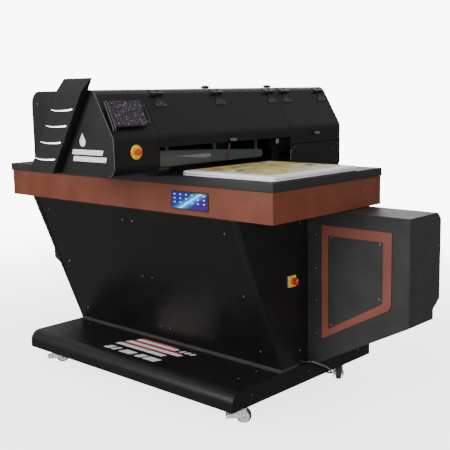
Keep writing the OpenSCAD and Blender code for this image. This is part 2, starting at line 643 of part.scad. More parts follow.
module light_fin() color([0.1, 0.1, 0.11]) placed() {
    foot = fin_slice(hood_z, 0.02, 1, false, 0);
    intersection() {
        loft(fin_slice(fin_z0, 0.02, 1, false, 0), foot);
        box([-hood_back, 400], [-hood_near - fin_out - 5, -hood_near], [fin_z0, hood_z]);
    }
    // the tip narrows to a thin edge above the hood, with a crease across its outer face
    tip = [for (p = [[46, 0], [46, 3], [246, 3], [246, 0]]) [p[0], -hood_near - p[1], fin_z1]];
    polyhedron(points = concat(foot, tip), faces = [[0, 1, 2, 3], [7, 6, 5, 4], [0, 4, 5], [0, 5, 1],
        [1, 5, 6], [1, 6, 2], [2, 6, 7], [2, 7, 3], [3, 7, 4], [3, 4, 0]]);
}

module light_strips() color([0.95, 0.97, 1]) placed() for (z = LED_Z)
    loft(fin_slice(z - 5, 0.08, 0.87, true, 2.6), fin_slice(z + 5, 0.08, 0.87, true, 2.6));

module vent_caps() color([0.1, 0.1, 0.11]) placed() for (y = [200, 710]) translate([0, y, hood_z]) {
    cylinder(h = 6, r = 20);
    translate([0, 0, 6]) cylinder(h = 12, r = 26);
}

// ---- controls ----
module estop_ring() color([0.95, 0.8, 0.15]) placed() difference() {
    rod_x([hood_nose, hood_nose + 11], estop_y, estop_z, 32);
    rod_x([hood_nose - 1, hood_nose + 20], estop_y, estop_z, 8 + gap);
}
module estop_button() color([0.85, 0.15, 0.1]) placed() {
    rod_x([hood_nose - 12, hood_nose + 18], estop_y, estop_z, 8);
    rod_x([hood_nose + 18, hood_nose + 30], estop_y, estop_z, 14);
}

// The tablet leans out a little from the slope on two ribs
module operator_tablet() color([0.05, 0.05, 0.06]) placed()
    translate([hood_nose, 0, crease_z]) rotate([0, slope_a, 0]) {
        translate([-48, 0, 12]) rotate([0, 5, 0]) box([-122, 0], [-716, -534], [0, 10]);
        for (y = [-690, -575]) along_y([y, y + 15]) polygon([[-150, 0.2], [-62, 0.2],
            [-62, 13.5], [-150, 21.2]]);
    }

module isolator_plate() color([0.95, 0.8, 0.1]) placed() {
    difference() {
        along_x([body_x, body_x + 9]) round_rect([iso_y - 26, iso_y + 26], [iso_z - 27, iso_z + 27], 4);
        rod_x([body_x - 1, body_x + 12], iso_y, iso_z, 5 + gap);
    }
    // gland for the power lead
    rod_x([body_x, body_x + 6], gland_y, gland_z, 13);
    rod_x([body_x + 6, body_x + 23], gland_y, gland_z, 9);
}
module isolator_knob() color([0.85, 0.12, 0.1]) placed() {
    rod_x([body_x - 20, body_x + 10], iso_y, iso_z, 5);
    rod_x([body_x + 9.5, body_x + 20], iso_y, iso_z, 16);
    box([body_x + 20, body_x + 38], [iso_y - 6, iso_y + 6], [iso_z - 15.5, iso_z + 15.5]);
}

// ---- power lead ----
function unit(v) = v / norm(v);
// Centre line: the route with a point added in the middle of each stretch
function spline(p, i, t) = let (a = p[max(i - 1, 0)], b = p[i], c = p[i + 1], d = p[min(i + 2, len(p) - 1)])
    0.5 * (2 * b + (c - a) * t + (2 * a - 5 * b + 4 * c - d) * t * t + (3 * b - a - 3 * c + d) * t * t * t);
function rings(p) = concat([for (i = [0:len(p) - 2], t = [0, 0.5]) spline(p, i, t)], [p[len(p) - 1]]);

// A round tube along a route
module tube_along(route) {
    line = rings(route);
    n = len(line);
    m = 10;                          // sides
    points = [for (i = [0:n - 1]) let (d = unit(line[min(i + 1, n - 1)] - line[max(i - 1, 0)]),
        u = unit(cross(d, [0, 0.001, 1])), v = cross(d, u))
        for (k = [0:m - 1]) line[i] + lead_d / 2 * (cos(360 * k / m) * u + sin(360 * k / m) * v)];
    polyhedron(points = points, faces = concat([[for (k = [0:m - 1]) k]],
        [[for (k = [m - 1:-1:0]) (n - 1) * m + k]],
        [for (i = [0:n - 2], k = [0:m - 1])
            [i * m + k, (i + 1) * m + k, (i + 1) * m + (k + 1) % m, i * m + (k + 1) % m]]));
}

module power_lead() color([0.55, 0.55, 0.57]) placed() {
    tube_along(ROUTE);
    tube_along(TAIL);
}

module lead_coil() color([0.55, 0.55, 0.57]) placed() translate([coil_x, coil_y, 0])
    rotate_extrude() translate([coil_r - lead_d, 0]) square([2 * lead_d, coil_h]);

module power_plug() color([0.08, 0.08, 0.09]) placed() translate([coil_x - 120, coil_y, 0]) {
    rod_y(0, [-25, 20], 20, 19.5);
    rod_y(0, [20, 42], 20, 9);
    for (x = [-9.5, 9.5]) rod_y(x, [-44, -25], 20, 2.4);
}

base_tray();
chassis_frame();
caster_plates();
caster_fork_front_right();
caster_fork_rear_right();
caster_fork_front_left();
caster_fork_rear_left();
caster_wheel_front_right();
caster_wheel_rear_right();
caster_wheel_front_left();
caster_wheel_rear_left();
front_skin_left();
front_skin_right();
side_skins();
rear_skin();
housing_left();
housing_right();
access_panels();
trim_frames();
fascia_pan();
table_frame();
table_rim();
table_top();
touch_bezel();
touch_screen();
bed_track();
bed_carriage();
bed_plate();
print_board();
gantry_uprights();
gantry_beam();
carriage_rails();
print_carriage();
print_heads();
uv_lamps();
carriage_belt();
belt_motor();
drive_pulley();
idler_pulley();
capping_station();
ink_tanks();
hood_cover();
hood_brackets();
near_housing();
far_housing();
uv_shield();
lid_hinges();
lid_main();
lid_far();
light_fin();
light_strips();
vent_caps();
estop_ring();
estop_button();
operator_tablet();
isolator_plate();
isolator_knob();
power_lead();
lead_coil();
power_plug();
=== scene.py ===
"""Flatbed UV printer: camera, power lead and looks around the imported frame. Metres, +Z up, bed along X."""
import cmath
import json
import math

import bmesh
import bpy
from mathutils import Matrix, Vector


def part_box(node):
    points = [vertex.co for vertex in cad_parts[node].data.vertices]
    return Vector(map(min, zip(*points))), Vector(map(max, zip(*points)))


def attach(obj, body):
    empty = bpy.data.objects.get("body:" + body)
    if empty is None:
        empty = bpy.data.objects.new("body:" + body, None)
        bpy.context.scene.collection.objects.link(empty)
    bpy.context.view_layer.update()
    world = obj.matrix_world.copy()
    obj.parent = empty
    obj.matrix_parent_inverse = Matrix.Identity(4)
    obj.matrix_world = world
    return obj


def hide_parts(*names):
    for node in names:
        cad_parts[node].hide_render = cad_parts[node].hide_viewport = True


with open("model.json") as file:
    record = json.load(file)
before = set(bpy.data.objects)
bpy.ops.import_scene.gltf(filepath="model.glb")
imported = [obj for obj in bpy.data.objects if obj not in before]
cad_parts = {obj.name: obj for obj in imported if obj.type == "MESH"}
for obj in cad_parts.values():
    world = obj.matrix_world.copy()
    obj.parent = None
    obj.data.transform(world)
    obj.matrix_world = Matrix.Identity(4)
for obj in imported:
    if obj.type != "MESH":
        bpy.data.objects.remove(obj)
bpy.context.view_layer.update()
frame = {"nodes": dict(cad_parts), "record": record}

scene = bpy.context.scene
NODES = frame["nodes"]
JOINTS = {joint["name"]: joint for joint in frame["record"]["behaviour"]["joints"]}
CORNERS = ("front_right", "rear_right", "front_left", "rear_left")
MID_Y = 0.0625          # the table's centre line lies this far to the front of the origin
MM = 0.001


def at(x, y, z):
    """A point given in millimetres about the table's centre line, in the row frame."""
    return Vector((x * MM, y * MM - MID_Y, z * MM))


# ---------------------------------------------------------------- camera, floor and light
CAMERA_PLACE = at(3063.6, -2951.5, 1487.4)
HEADING, PITCH, ROLL = 42.99, 9.24, -1.09     # degrees
LENS, SENSOR = 65.28, 36
DOME_LIGHT = 0.9
BACKDROP_LIGHT = 9.0
FLOOR_SHARE = 0.3              # how much of the backdrop's light the paper gives off near the machine
FLOOR_SIZE = 120
FADE_FROM, FADE_TO = 1.2, 6.0  # metres from the machine over which the floor turns into the backdrop
WHITE, NO_COLOR = (1, 1, 1), (0, 0, 0)


def feed(tree, node, inputs):
    """Fills a node's inputs: each value is a number, a tuple or another node's output."""
    for socket, value in inputs.items():
        if isinstance(value, bpy.types.NodeSocket):
            tree.links.new(value, node.inputs[socket])
        else:
            node.inputs[socket].default_value = value


def add(tree, kind, inputs=None, **settings):
    """A new shader node with its settings and inputs."""
    node = tree.nodes.new("ShaderNode" + kind)
    for name, value in settings.items():
        setattr(node, name, value)
    feed(tree, node, inputs or {})
    return node


def calc(tree, kind, *values):
    """A Math node's result; each value is a number or another node's output."""
    return add(tree, "Math", dict(enumerate(values)), operation=kind).outputs[0]


def mixed(tree, fac, a, b):
    """Two colours mixed by a factor; each is a colour or another node's output."""
    values = [(*value, 1) if isinstance(value, tuple) else value for value in (fac, a, b)]
    return add(tree, "MixRGB", dict(enumerate(values))).outputs[0]


def ramp(tree, fac, *stops, kind="LINEAR"):
    """The colour of a ramp with (position, colour) stops."""
    node = add(tree, "ValToRGB", {"Fac": fac})
    bar = node.color_ramp
    bar.interpolation = kind
    for stop, (spot, tone) in zip(bar.elements, (stops[0], stops[-1])):
        stop.position, stop.color = spot, (*tone, 1)
    for spot, tone in stops[1:-1]:
        bar.elements.new(spot).color = (*tone, 1)
    return node.outputs["Color"]


def mapped(tree, value, **ends):
    """A value moved from one range to another; the ends are from_min, from_max, to_min and to_max."""
    inputs = {name.replace("_", " ").title(): end for name, end in ends.items()}
    return add(tree, "MapRange", {"Value": value, **inputs}).outputs[0]


def object_place(tree):
    return add(tree, "TexCoord").outputs["Object"]


def new_material(name):
    """A material with its node tree and its shader."""
    mat = bpy.data.materials.new(name)
    mat.use_nodes = True
    return mat, mat.node_tree, mat.node_tree.nodes["Principled BSDF"]


def make_camera():
    data = bpy.data.cameras.new("camera")
    data.lens = LENS
    data.sensor_width = SENSOR
    data.clip_end = 60
    cam = bpy.data.objects.new("camera", data)
    turn = (Matrix.Rotation(math.radians(HEADING), 4, "Z")
            @ Matrix.Rotation(math.radians(90 - PITCH), 4, "X")
            @ Matrix.Rotation(math.radians(ROLL), 4, "Z"))
    cam.matrix_world = Matrix.Translation(CAMERA_PLACE) @ turn
    scene.collection.objects.link(cam)
    scene.camera = cam


def area_light(name, place, target, size, power):
    data = bpy.data.lights.new(name, "AREA")
    data.shape = "RECTANGLE"
    data.size, data.size_y = size
    data.energy = power
    light = bpy.data.objects.new(name, data)
    light.location = place
    light.rotation_euler = (Vector(target) - Vector(place)).to_track_quat("-Z", "Y").to_euler()
    scene.collection.objects.link(light)


def make_world():
    """White for the camera; all else sees a soft dome that is brighter above than below."""
    world = bpy.data.worlds.new("studio")
    world.use_nodes = True
    tree = world.node_tree
    place = add(tree, "TexCoord").outputs["Generated"]
    height = mapped(tree, add(tree, "SeparateXYZ", {0: place}).outputs["Z"], from_min=-1)
    tones = ramp(tree, height, (0.42, (0.22, 0.22, 0.23)), (0.55, (0.50, 0.50, 0.51)), (0.95, WHITE))
    dome = tree.nodes["Background"]
    feed(tree, dome, {"Color": tones, "Strength": DOME_LIGHT})
    white = add(tree, "Background", {"Color": (*WHITE, 1), "Strength": BACKDROP_LIGHT})
    seen = add(tree, "LightPath").outputs["Is Camera Ray"]
    pick = add(tree, "MixShader", {0: seen, 1: dome.outputs[0], 2: white.outputs[0]})
    feed(tree, tree.nodes["World Output"], {"Surface": pick.outputs[0]})
    scene.world = world


def make_floor():
    """Pale paper that takes the machine's shadow and fades into the backdrop all round."""
    bpy.ops.mesh.primitive_plane_add(size=FLOOR_SIZE)
    floor = bpy.context.object
    floor.name = "floor"
    floor.visible_diffuse = False
    floor.visible_glossy = False
    mat, tree, shader = new_material("floor_paper")
    far = add(tree, "VectorMath", {0: object_place(tree)}, operation="LENGTH").outputs["Value"]
    fade = add(tree, "MapRange", {"Value": far, "From Min": FADE_FROM, "From Max": FADE_TO},
               interpolation_type="SMOOTHSTEP").outputs[0]
    feed(tree, shader, {
        "Roughness": 0.9, "Specular IOR Level": 0.0, "Emission Strength": BACKDROP_LIGHT,
        "Base Color": mixed(tree, fade, (0.9, 0.9, 0.9), NO_COLOR),
        "Emission Color": mixed(tree, fade, (FLOOR_SHARE, FLOOR_SHARE, FLOOR_SHARE), WHITE),
    })
    floor.data.materials.append(mat)


def make_studio():
    make_world()
    make_floor()
    area_light("key", (-1.4, -5.4, 2.3), (0.4, 0, 0.8), (3.8, 2.4), 290)
    area_light("right_fill", (4.2, -3.2, 1.2), (0.6, 0, 0.5), (2.2, 1.6), 120)
    area_light("back_top", (-2.6, 4.4, 3.6), (0, 0, 1.1), (3.4, 1.6), 95)


make_camera()
make_studio()


# ---------------------------------------------------------------- materials
def dented(tree, shader, height, strength, distance):
    """Fine relief in the shading."""
    dent = add(tree, "Bump", {"Height": height, "Strength": strength, "Distance": distance})
    feed(tree, shader, {"Normal": dent.outputs["Normal"]})


def surface(name, color, rough, metal=0.0, grain=900, bump=0.15, mottle=0.12, spread=0.08,
            coat=0.0, glow=None, specular=0.5):
    """A surface with a fine grain, slow changes of tone and a roughness that varies with them."""
    mat, tree, shader = new_material(name)
    place = object_place(tree)
    slow = add(tree, "TexNoise", {"Vector": place, "Scale": 9, "Detail": 5}).outputs["Fac"]
    fine = add(tree, "TexNoise", {"Vector": place, "Scale": grain, "Detail": 3}).outputs["Fac"]
    dark, light = ([min(1, c * share) for c in color] for share in (1 - mottle, 1 + mottle))
    feed(tree, shader, {
        "Metallic": metal, "Coat Weight": coat, "Coat Roughness": 0.12, "Specular IOR Level": specular,
        "Base Color": ramp(tree, slow, (0.3, dark), (0.7, light)),
        "Roughness": mapped(tree, calc(tree, "ADD", slow, fine), from_min=0.6, from_max=1.4,
                            to_min=max(0.03, rough - spread), to_max=min(1, rough + spread)),
    })
    if bump:
        dented(tree, shader, fine, bump, 0.0004)
    if glow:
        feed(tree, shader, {"Emission Color": (*glow[:3], 1), "Emission Strength": glow[3]})
    return mat


def clear_surface(name, color, rough, alpha):
    mat = surface(name, color, rough, bump=0, mottle=0.05, spread=0.02, coat=0.6)
    mat.node_tree.nodes["Principled BSDF"].inputs["Alpha"].default_value = alpha
    return mat


def brushed(name, color, rough):
    """Metal with long fine brush marks."""
    mat = surface(name, color, rough, metal=1.0, bump=0, mottle=0.06)
    tree = mat.node_tree
    drawn = add(tree, "Mapping", {"Vector": object_place(tree), "Scale": (4, 220, 220)}).outputs["Vector"]
    lines = add(tree, "TexNoise", {"Vector": drawn, "Scale": 4, "Detail": 4}).outputs["Fac"]
    dented(tree, tree.nodes["Principled BSDF"], lines, 0.12, 0.0003)
    return mat


def artwork(name, right, front):
    """An abstract print of drifting patches on a white board whose near and right margins stay bare."""
    mat, tree, shader = new_material(name)
    place = object_place(tree)
    warp = add(tree, "TexNoise", {"Vector": place, "Scale": 5, "Detail": 2}).outputs["Color"]
    pushed = mixed(tree, 0.16, place, warp)
    cells = add(tree, "TexVoronoi", {"Vector": pushed, "Scale": 17}).outputs["Color"]
    broad = add(tree, "TexNoise", {"Vector": pushed, "Scale": 10, "Detail": 8, "Roughness": 0.62})
    broad = broad.outputs["Fac"]
    tones = ramp(tree, broad, (0.33, (0.10, 0.17, 0.06)), (0.41, (0.34, 0.34, 0.08)),
                 (0.47, (0.64, 0.40, 0.07)), (0.52, (0.74, 0.58, 0.26)), (0.57, (0.36, 0.42, 0.26)),
                 (0.62, (0.80, 0.70, 0.56)))
    pick = add(tree, "SeparateColor", {"Color": cells})
    accent = ramp(tree, pick.outputs["Red"], (0, (0.05, 0.11, 0.42)), (0.55, (0.72, 0.52, 0.10)),
                  kind="CONSTANT")
    printed = mixed(tree, calc(tree, "GREATER_THAN", pick.outputs["Green"], 0.84), tones, accent)
    split = add(tree, "SeparateXYZ", {0: place})
    inside = calc(tree, "MULTIPLY", calc(tree, "LESS_THAN", split.outputs["X"], right),
                  calc(tree, "GREATER_THAN", split.outputs["Y"], front))
    feed(tree, shader, {
        "Specular IOR Level": 0.12, "Roughness": mapped(tree, broad, to_min=0.25, to_max=0.45),
        "Base Color": mixed(tree, inside, (0.86, 0.86, 0.85), printed),
    })
    return mat


def display(name, build, glow):
    """A glowing display whose picture is worked out in the plane of its screen."""
    mat, tree, shader = new_material(name)
    color = build(tree)
    feed(tree, shader, {"Roughness": 0.12, "Specular IOR Level": 0.3, "Base Color": color,
                        "Emission Color": color, "Emission Strength": glow})
    return mat


def screen_axes(tree, place, axis, spans):
    """Shares across and up a screen, from its edges in metres."""
    split = add(tree, "SeparateXYZ", {0: place})
    return [calc(tree, "DIVIDE", calc(tree, "SUBTRACT", split.outputs[name], low), high - low)
            for name, (low, high) in zip((axis, "Z"), spans)]


def dots(tree, axes, counts, radius):
    """Round icons on a grid: 1 inside a dot and 0 outside it."""
    squares = []
    for share, count in zip(axes, counts):
        off = calc(tree, "SUBTRACT", calc(tree, "FRACT", calc(tree, "MULTIPLY", share, count)), 0.5)
        squares.append(calc(tree, "MULTIPLY", off, off))
    return calc(tree, "LESS_THAN", calc(tree, "SQRT", calc(tree, "ADD", *squares)), radius)


def touch_picture(tree):
    """Blue to violet, a bright slanted streak, and a grid of pale round icons."""
    u, v = screen_axes(tree, object_place(tree), "X", ((0.355, 0.579), (0.971, 1.044)))
    ground = mixed(tree, u, (0.012, 0.022, 0.20), (0.040, 0.010, 0.14))
    lean = calc(tree, "MULTIPLY", v, 0.62)
    slant = calc(tree, "ABSOLUTE", calc(tree, "SUBTRACT", calc(tree, "ADD", u, -0.22), lean))
    dim = calc(tree, "MINIMUM", calc(tree, "MULTIPLY", slant, 3.2), 1.0)
    glow = calc(tree, "POWER", calc(tree, "SUBTRACT", 1.0, dim), 2.0)
    core = calc(tree, "MULTIPLY", calc(tree, "LESS_THAN", slant, 0.035), 0.7)
    lit = mixed(tree, core, mixed(tree, glow, ground, (0.03, 0.42, 0.85)), (0.35, 0.85, 1.0))
    upper = calc(tree, "GREATER_THAN", v, 0.3)
    icons = calc(tree, "MULTIPLY", dots(tree, (u, v), (6, 4), 0.17), upper)
    return mixed(tree, calc(tree, "MULTIPLY", icons, 0.75), lit, (0.55, 0.72, 1.0))


def tablet_picture(tree):
    """A busy dark page of small violet and warm grey tiles."""
    tiles = add(tree, "TexVoronoi", {"Vector": object_place(tree), "Scale": 150}, distance="CHEBYCHEV")
    pick = add(tree, "SeparateColor", {"Color": tiles.outputs["Color"]})
    tone = mixed(tree, pick.outputs["Red"], (0.010, 0.008, 0.014), (0.075, 0.055, 0.080))
    warm = calc(tree, "MULTIPLY", calc(tree, "GREATER_THAN", pick.outputs["Green"], 0.9), 0.7)
    tone = mixed(tree, warm, tone, (0.30, 0.24, 0.21))
    edge = calc(tree, "MULTIPLY", calc(tree, "GREATER_THAN", tiles.outputs["Distance"], 0.42), 0.8)
    return mixed(tree, edge, tone, (0.008, 0.008, 0.012))


MAT = {
    "black": surface("black_coat", (0.0082, 0.0076, 0.0076), 0.36, bump=0.16, specular=0.34),
    # skin: the black coat made darker for the front skins, a painted shade that holds back the light they
    # catch from the front
    "skin": surface("skin_coat_painted_shade", (0.0058, 0.0052, 0.0052), 0.33, bump=0.16, specular=0.40),
    "hood": surface("hood_coat", (0.0070, 0.0066, 0.0062), 0.42, bump=0.2, specular=0.24),
    # brow: a lighter tone of the hood's black that paints the highlight along the rounded brow
    "brow": surface("brow_painted_highlight", (0.026, 0.022, 0.020), 0.48, bump=0.2, specular=0.24),
    "fin": surface("fin_coat", (0.011, 0.0105, 0.0105), 0.44, bump=0.2, specular=0.25),
    "edge": surface("edge_highlight", (0.07, 0.07, 0.072), 0.4, bump=0.1, specular=0.4),
    "tray": surface("tray_coat", (0.0075, 0.0075, 0.0078), 0.38, bump=0.25, specular=0.24),
    "trim": surface("trim_coat", (0.045, 0.045, 0.047), 0.38, bump=0.1),
    "table": surface("table_lacquer", (0.017, 0.0162, 0.016), 0.46, bump=0.12, specular=0.3),
    "graphite": surface("graphite_coat", (0.030, 0.0295, 0.030), 0.44, bump=0.2, specular=0.26),
    "bronze": surface("bronze_coat", (0.155, 0.041, 0.020), 0.44, metal=0.1, grain=1400, bump=0.14,
                      specular=0.35),
    "bronze_flat": surface("bronze_trim_coat", (0.185, 0.056, 0.040), 0.5, grain=1400, bump=0.1,
                           specular=0.3),
    "rim": surface("rim_coat", (0.019, 0.0185, 0.0185), 0.46, bump=0.3, specular=0.3),
    "frame": surface("frame_paint", (0.03, 0.03, 0.033), 0.5, bump=0.2),
    "zinc": brushed("zinc_steel", (0.55, 0.55, 0.57), 0.32),
    "screw": surface("blackened_screw", (0.16, 0.16, 0.165), 0.3, metal=0.9, bump=0.05),
    "screw_bronze": surface("bronze_screw", (0.24, 0.085, 0.055), 0.35, metal=0.4, bump=0.05),
    "chrome": surface("caster_chrome", (0.86, 0.86, 0.88), 0.26, metal=0.35, bump=0.02, mottle=0.04,
                      spread=0.05),
    "satin": surface("satin_pull", (0.22, 0.22, 0.22), 0.36, metal=0.8, bump=0.04),
    "alu": brushed("satin_aluminium", (0.58, 0.59, 0.61), 0.36),
    "rubber": surface("wheel_rubber", (0.035, 0.035, 0.037), 0.7, grain=500, bump=0.3),
    "hub": surface("wheel_hub", (0.38, 0.38, 0.39), 0.42, bump=0.1),
    "white": surface("bed_white", (0.80, 0.80, 0.79), 0.42, bump=0.06, mottle=0.02, specular=0.3),
    "art": artwork("abstract_artwork", 0.893, -0.389),
    "plastic": surface("black_plastic", (0.012, 0.012, 0.0125), 0.42, grain=1500, bump=0.2, specular=0.4),
    "yellow": surface("safety_yellow", (0.88, 0.56, 0.012), 0.4, bump=0.05, mottle=0.04),
    "red": surface("safety_red", (0.68, 0.030, 0.012), 0.34, bump=0.04, mottle=0.04),
    "print_red": surface("printed_red", (0.52, 0.03, 0.05), 0.5, bump=0.04),
    "print_white": surface("printed_white", (0.8, 0.8, 0.8), 0.5, bump=0.04, mottle=0.03),
    "shield": clear_surface("tinted_acrylic", (0.048, 0.062, 0.064), 0.14, 0.9),
    "strap": surface("brown_strap", (0.085, 0.045, 0.032), 0.6, grain=600, bump=0.3),
    "diffuser": surface("light_diffuser", (0.9, 0.92, 1.0), 0.3, bump=0, mottle=0.01,
                        glow=(0.80, 0.83, 1.0, 3.6)),
    "lead": surface("lead_sheath", (0.16, 0.16, 0.165), 0.5, grain=700, bump=0.12),
    "belt": surface("belt_rubber", (0.02, 0.02, 0.02), 0.65),
    "tube": clear_surface("ink_tube", (0.35, 0.36, 0.38), 0.2, 0.85),
    "touch_ui": display("touch_display", touch_picture, 0.55),
    "tablet_ui": display("tablet_display", tablet_picture, 0.2),
}
INKS = {"ink_cyan": (0.02, 0.28, 0.52), "ink_magenta": (0.50, 0.02, 0.17), "ink_yellow": (0.70, 0.50, 0.02),
        "ink_key": (0.02, 0.02, 0.022)}
MAT.update({ink: surface(ink, color, 0.3, bump=0.05, coat=0.3) for ink, color in INKS.items()})


# ---------------------------------------------------------------- mesh helpers, in millimetres
ROW = Matrix.Translation((0, -MID_Y, 0)) @ Matrix.Scale(MM, 4)   # from table millimetres to the row frame
OUT_X, OUT_Y, OUT_Z = Vector((1, 0, 0)), Vector((0, 1, 0)), Vector((0, 0, 1))
WELD_GAP = 1e-5         # metres
FLAT_WITHIN = 0.4       # degrees by which faces may differ and still count as one plane


def add_modifiers(obj, bevel, segments=2, angle=30, weld=False):
    if weld:
        obj.modifiers.new("weld", "WELD").merge_threshold = WELD_GAP
        flat = obj.modifiers.new("flat", "DECIMATE")
        flat.decimate_type = "DISSOLVE"
        flat.angle_limit = math.radians(FLAT_WITHIN)
    if bevel:
        mod = obj.modifiers.new("bevel", "BEVEL")
        mod.width = bevel
        mod.segments = segments
        mod.limit_method = "ANGLE"
        mod.angle_limit = math.radians(angle)
        mod.harden_normals = False
    obj.modifiers.new("normals", "WEIGHTED_NORMAL").keep_sharp = True


def dress(node, materials, bevel, pick=lambda face: 0):
    """A CAD node keeps its shape: it gets its materials, soft edges and smooth shading."""
    obj = NODES[node]
    obj.data.materials.clear()
    for material in materials:
        obj.data.materials.append(MAT[material])
    for face in obj.data.polygons:
        face.use_smooth = True
        face.material_index = pick(face)
    add_modifiers(obj, bevel, weld=True)


def add_skin(bm, rings, closed):
    """Faces over rings that have the same number of points."""
    loops = [[bm.verts.new(p) for p in ring] for ring in rings]
    pairs = list(zip(loops, loops[1:])) + ([(loops[-1], loops[0])] if closed else [])
    for a, b in pairs:
        for i in range(len(a)):
            j = (i + 1) % len(a)
            bm.faces.new((a[i], a[j], b[j], b[i]))
    if not closed:
        bm.faces.new(loops[0][::-1])
        bm.faces.new(loops[-1])


def piece(name, material, *skins, body="machine", slot=None, bevel=0.0, segments=2, angle=30, replaces=None):
    """A new object from skins in table millimetres, riding on a body."""
    bm = bmesh.new()
    for rings, closed in skins:
        add_skin(bm, rings, closed)
    bmesh.ops.recalc_face_normals(bm, faces=bm.faces)
    bm.transform(ROW)
    mesh = bpy.data.meshes.new(name)
    bm.to_mesh(mesh)
    bm.free()
    obj = bpy.data.objects.new(name, mesh)
    scene.collection.objects.link(obj)
    mesh.materials.append(MAT[material])
    for face in mesh.polygons:
        face.use_smooth = True
    add_modifiers(obj, bevel, segments, angle)
    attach(obj, body)
    if replaces:
        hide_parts(replaces)
    return obj


def facing(origin, out, up=OUT_Z):
    """A flat place: its first axis runs to the right, its second up, its third stands out of it."""
    out = Vector(out).normalized()
    right = Vector(up).cross(out).normalized()
    place = Matrix((right, out.cross(right), out)).transposed().to_4x4()
    place.translation = Vector(origin)
    return place


# Each of the next shapes is a skin: rings of points, and whether the last ring joins the first.
def loft(rings, closed=False):
    return list(rings), closed


def stack(place, *levels, closed=False):
    """A skin over (outline, height) levels on a place."""
    return loft([[place @ Vector((x, y, h)) for x, y in outline] for outline, h in levels], closed)


def prism(outline, low, high, place=Matrix()):
    return stack(place, (outline, low), (outline, high))


def along_x(outline, low, high):
    """A bar along x with a section in y and z."""
    return loft([(x, y, z) for y, z in outline] for x in (low, high))


def along_y(outline, low, high):
    """A bar along y with a section in x and z."""
    return loft([(x, y, z) for x, z in outline] for y in (low, high))


def lathe(profile, place=Matrix(), steps=32, closed=False):
    """A turned shape from (radius, height) pairs about the place's third axis."""
    return stack(place, *[(circle(max(r, 0.01), steps), h) for r, h in profile], closed=closed)


def tube(path, radius, sides=12):
    """A round bar along points; radius is one number, or one for each point."""
    path = [Vector(p) for p in path]
    radii = radius if isinstance(radius, list) else [radius] * len(path)
    side = None
    rings = []
    for i, (p, r) in enumerate(zip(path, radii)):
        along = (path[min(i + 1, len(path) - 1)] - path[max(i - 1, 0)]).normalized()
        side = side or along.orthogonal()
        side = (side - along * side.dot(along)).normalized()
        up = along.cross(side)
        rings.append([p + r * (side * c + up * s) for c, s in circle(1, sides)])
    return loft(rings)


def rounded(corners, radius, steps=5):
    """An outline with round corners; radius is one number, or one for each corner."""
    points = []
    for i, corner in enumerate(corners):
        r = radius[i] if isinstance(radius, (list, tuple)) else radius
        b = complex(*corner)
        if r <= 0:
            points.append(corner)
            continue
        u, v = complex(*corners[i - 1]) - b, complex(*corners[(i + 1) % len(corners)]) - b
        u, v = u / abs(u), v / abs(v)
        half = abs(cmath.phase(v / u)) / 2
        middle = b + (u + v) / abs(u + v) * r / math.sin(half)
        start, end = b + u * r / math.tan(half) - middle, b + v * r / math.tan(half) - middle
        turn = cmath.phase(end / start)
        for k in range(steps + 1):
            spot = middle + start * cmath.exp(1j * turn * k / steps)
            points.append((spot.real, spot.imag))
    return points


def rectangle(x, y, radius=0, steps=5):
    return rounded([(x[0], y[0]), (x[1], y[0]), (x[1], y[1]), (x[0], y[1])], radius, steps)


def polar(radius, degrees, centre=(0, 0)):
    t = math.radians(degrees)
    return centre[0] + radius * math.cos(t), centre[1] + radius * math.sin(t)


def circle(radius, steps=32):
    turns = [math.tau * k / steps for k in range(steps)]
    return [(radius * math.cos(t), radius * math.sin(t)) for t in turns]


def hexagon(radius, steps):
    """A hexagon's outline with as many points as a circle has, so that the two can be lofted."""
    points = []
    for k in range(steps):
        t = math.tau * k / steps
        across = (t + math.pi / 6) % (math.pi / 3) - math.pi / 6
        points.append((radius * math.cos(t) / math.cos(across), radius * math.sin(t) / math.cos(across)))
    return points


def arc_points(centre, radius, start, end, steps=8):
    return [polar(radius, start + (end - start) * k / steps, centre) for k in range(steps + 1)]


def smooth_path(points, count):
    """Catmull-Rom points along a route, count for each stretch."""
    points = [Vector(p) for p in points]
    line = []
    for i in range(len(points) - 1):
        a, b = points[max(i - 1, 0)], points[i]
        c, d = points[i + 1], points[min(i + 2, len(points) - 1)]
        for k in range(count):
            t = k / count
            line.append(0.5 * (2 * b + (c - a) * t + (2 * a - 5 * b + 4 * c - d) * t ** 2
                               + (3 * b - a - 3 * c + d) * t ** 3))
    return line + [points[-1]]


def screws(name, places, radius=5.0, material="screw", body="machine"):
    """Button-head screws with a hexagon socket, each on its own place."""
    sides = 18
    levels = [(circle(radius, sides), 0), (circle(radius, sides), 0.2 * radius),
              (circle(0.84 * radius, sides), 0.42 * radius), (circle(0.6 * radius, sides), 0.5 * radius),
              (hexagon(0.42 * radius, sides), 0.5 * radius), (hexagon(0.38 * radius, sides), 0.1 * radius)]
    piece(name, material, *[stack(place, *levels) for place in places], body=body)


# ---------------------------------------------------------------- places that the pieces share
FASCIA_FRONT, FASCIA_BACK, FASCIA_END = -395, 416, 950
RIM_LOW, FASCIA_LOW, FASCIA_SCREW_Z = 1077, 941, 1024
TRAY_TOP, BODY_X = 187, 757
HOUSING_Y, HOUSING_BACK, HOUSING_END = 101, 372, 1300
HOOD_NOSE, HOOD_NEAR, HOOD_FAR, HOOD_TOP, HOOD_FOOT = 370, -743, 908, 1507, 1180
MOUTH_NEAR, MOUTH_FAR = -478, 458
SKIN_FOOT, SKIN_TOP = -102, -399
RAKE = Vector((0, SKIN_TOP - SKIN_FOOT, FASCIA_LOW - TRAY_TOP)).normalized()
SLOPE_ANGLE = math.radians(59.32)
SLOPE_NORMAL = 90 - math.degrees(SLOPE_ANGLE)     # degrees, from the nose's direction up to the slope's
BROW_CENTRE, BROW_R = (218.7, 1459.0), 48.0
CREASE_Z, CREASE_R = 1298.0, 60.0
DOWN_SLOPE = (math.cos(SLOPE_ANGLE), -math.sin(SLOPE_ANGLE))
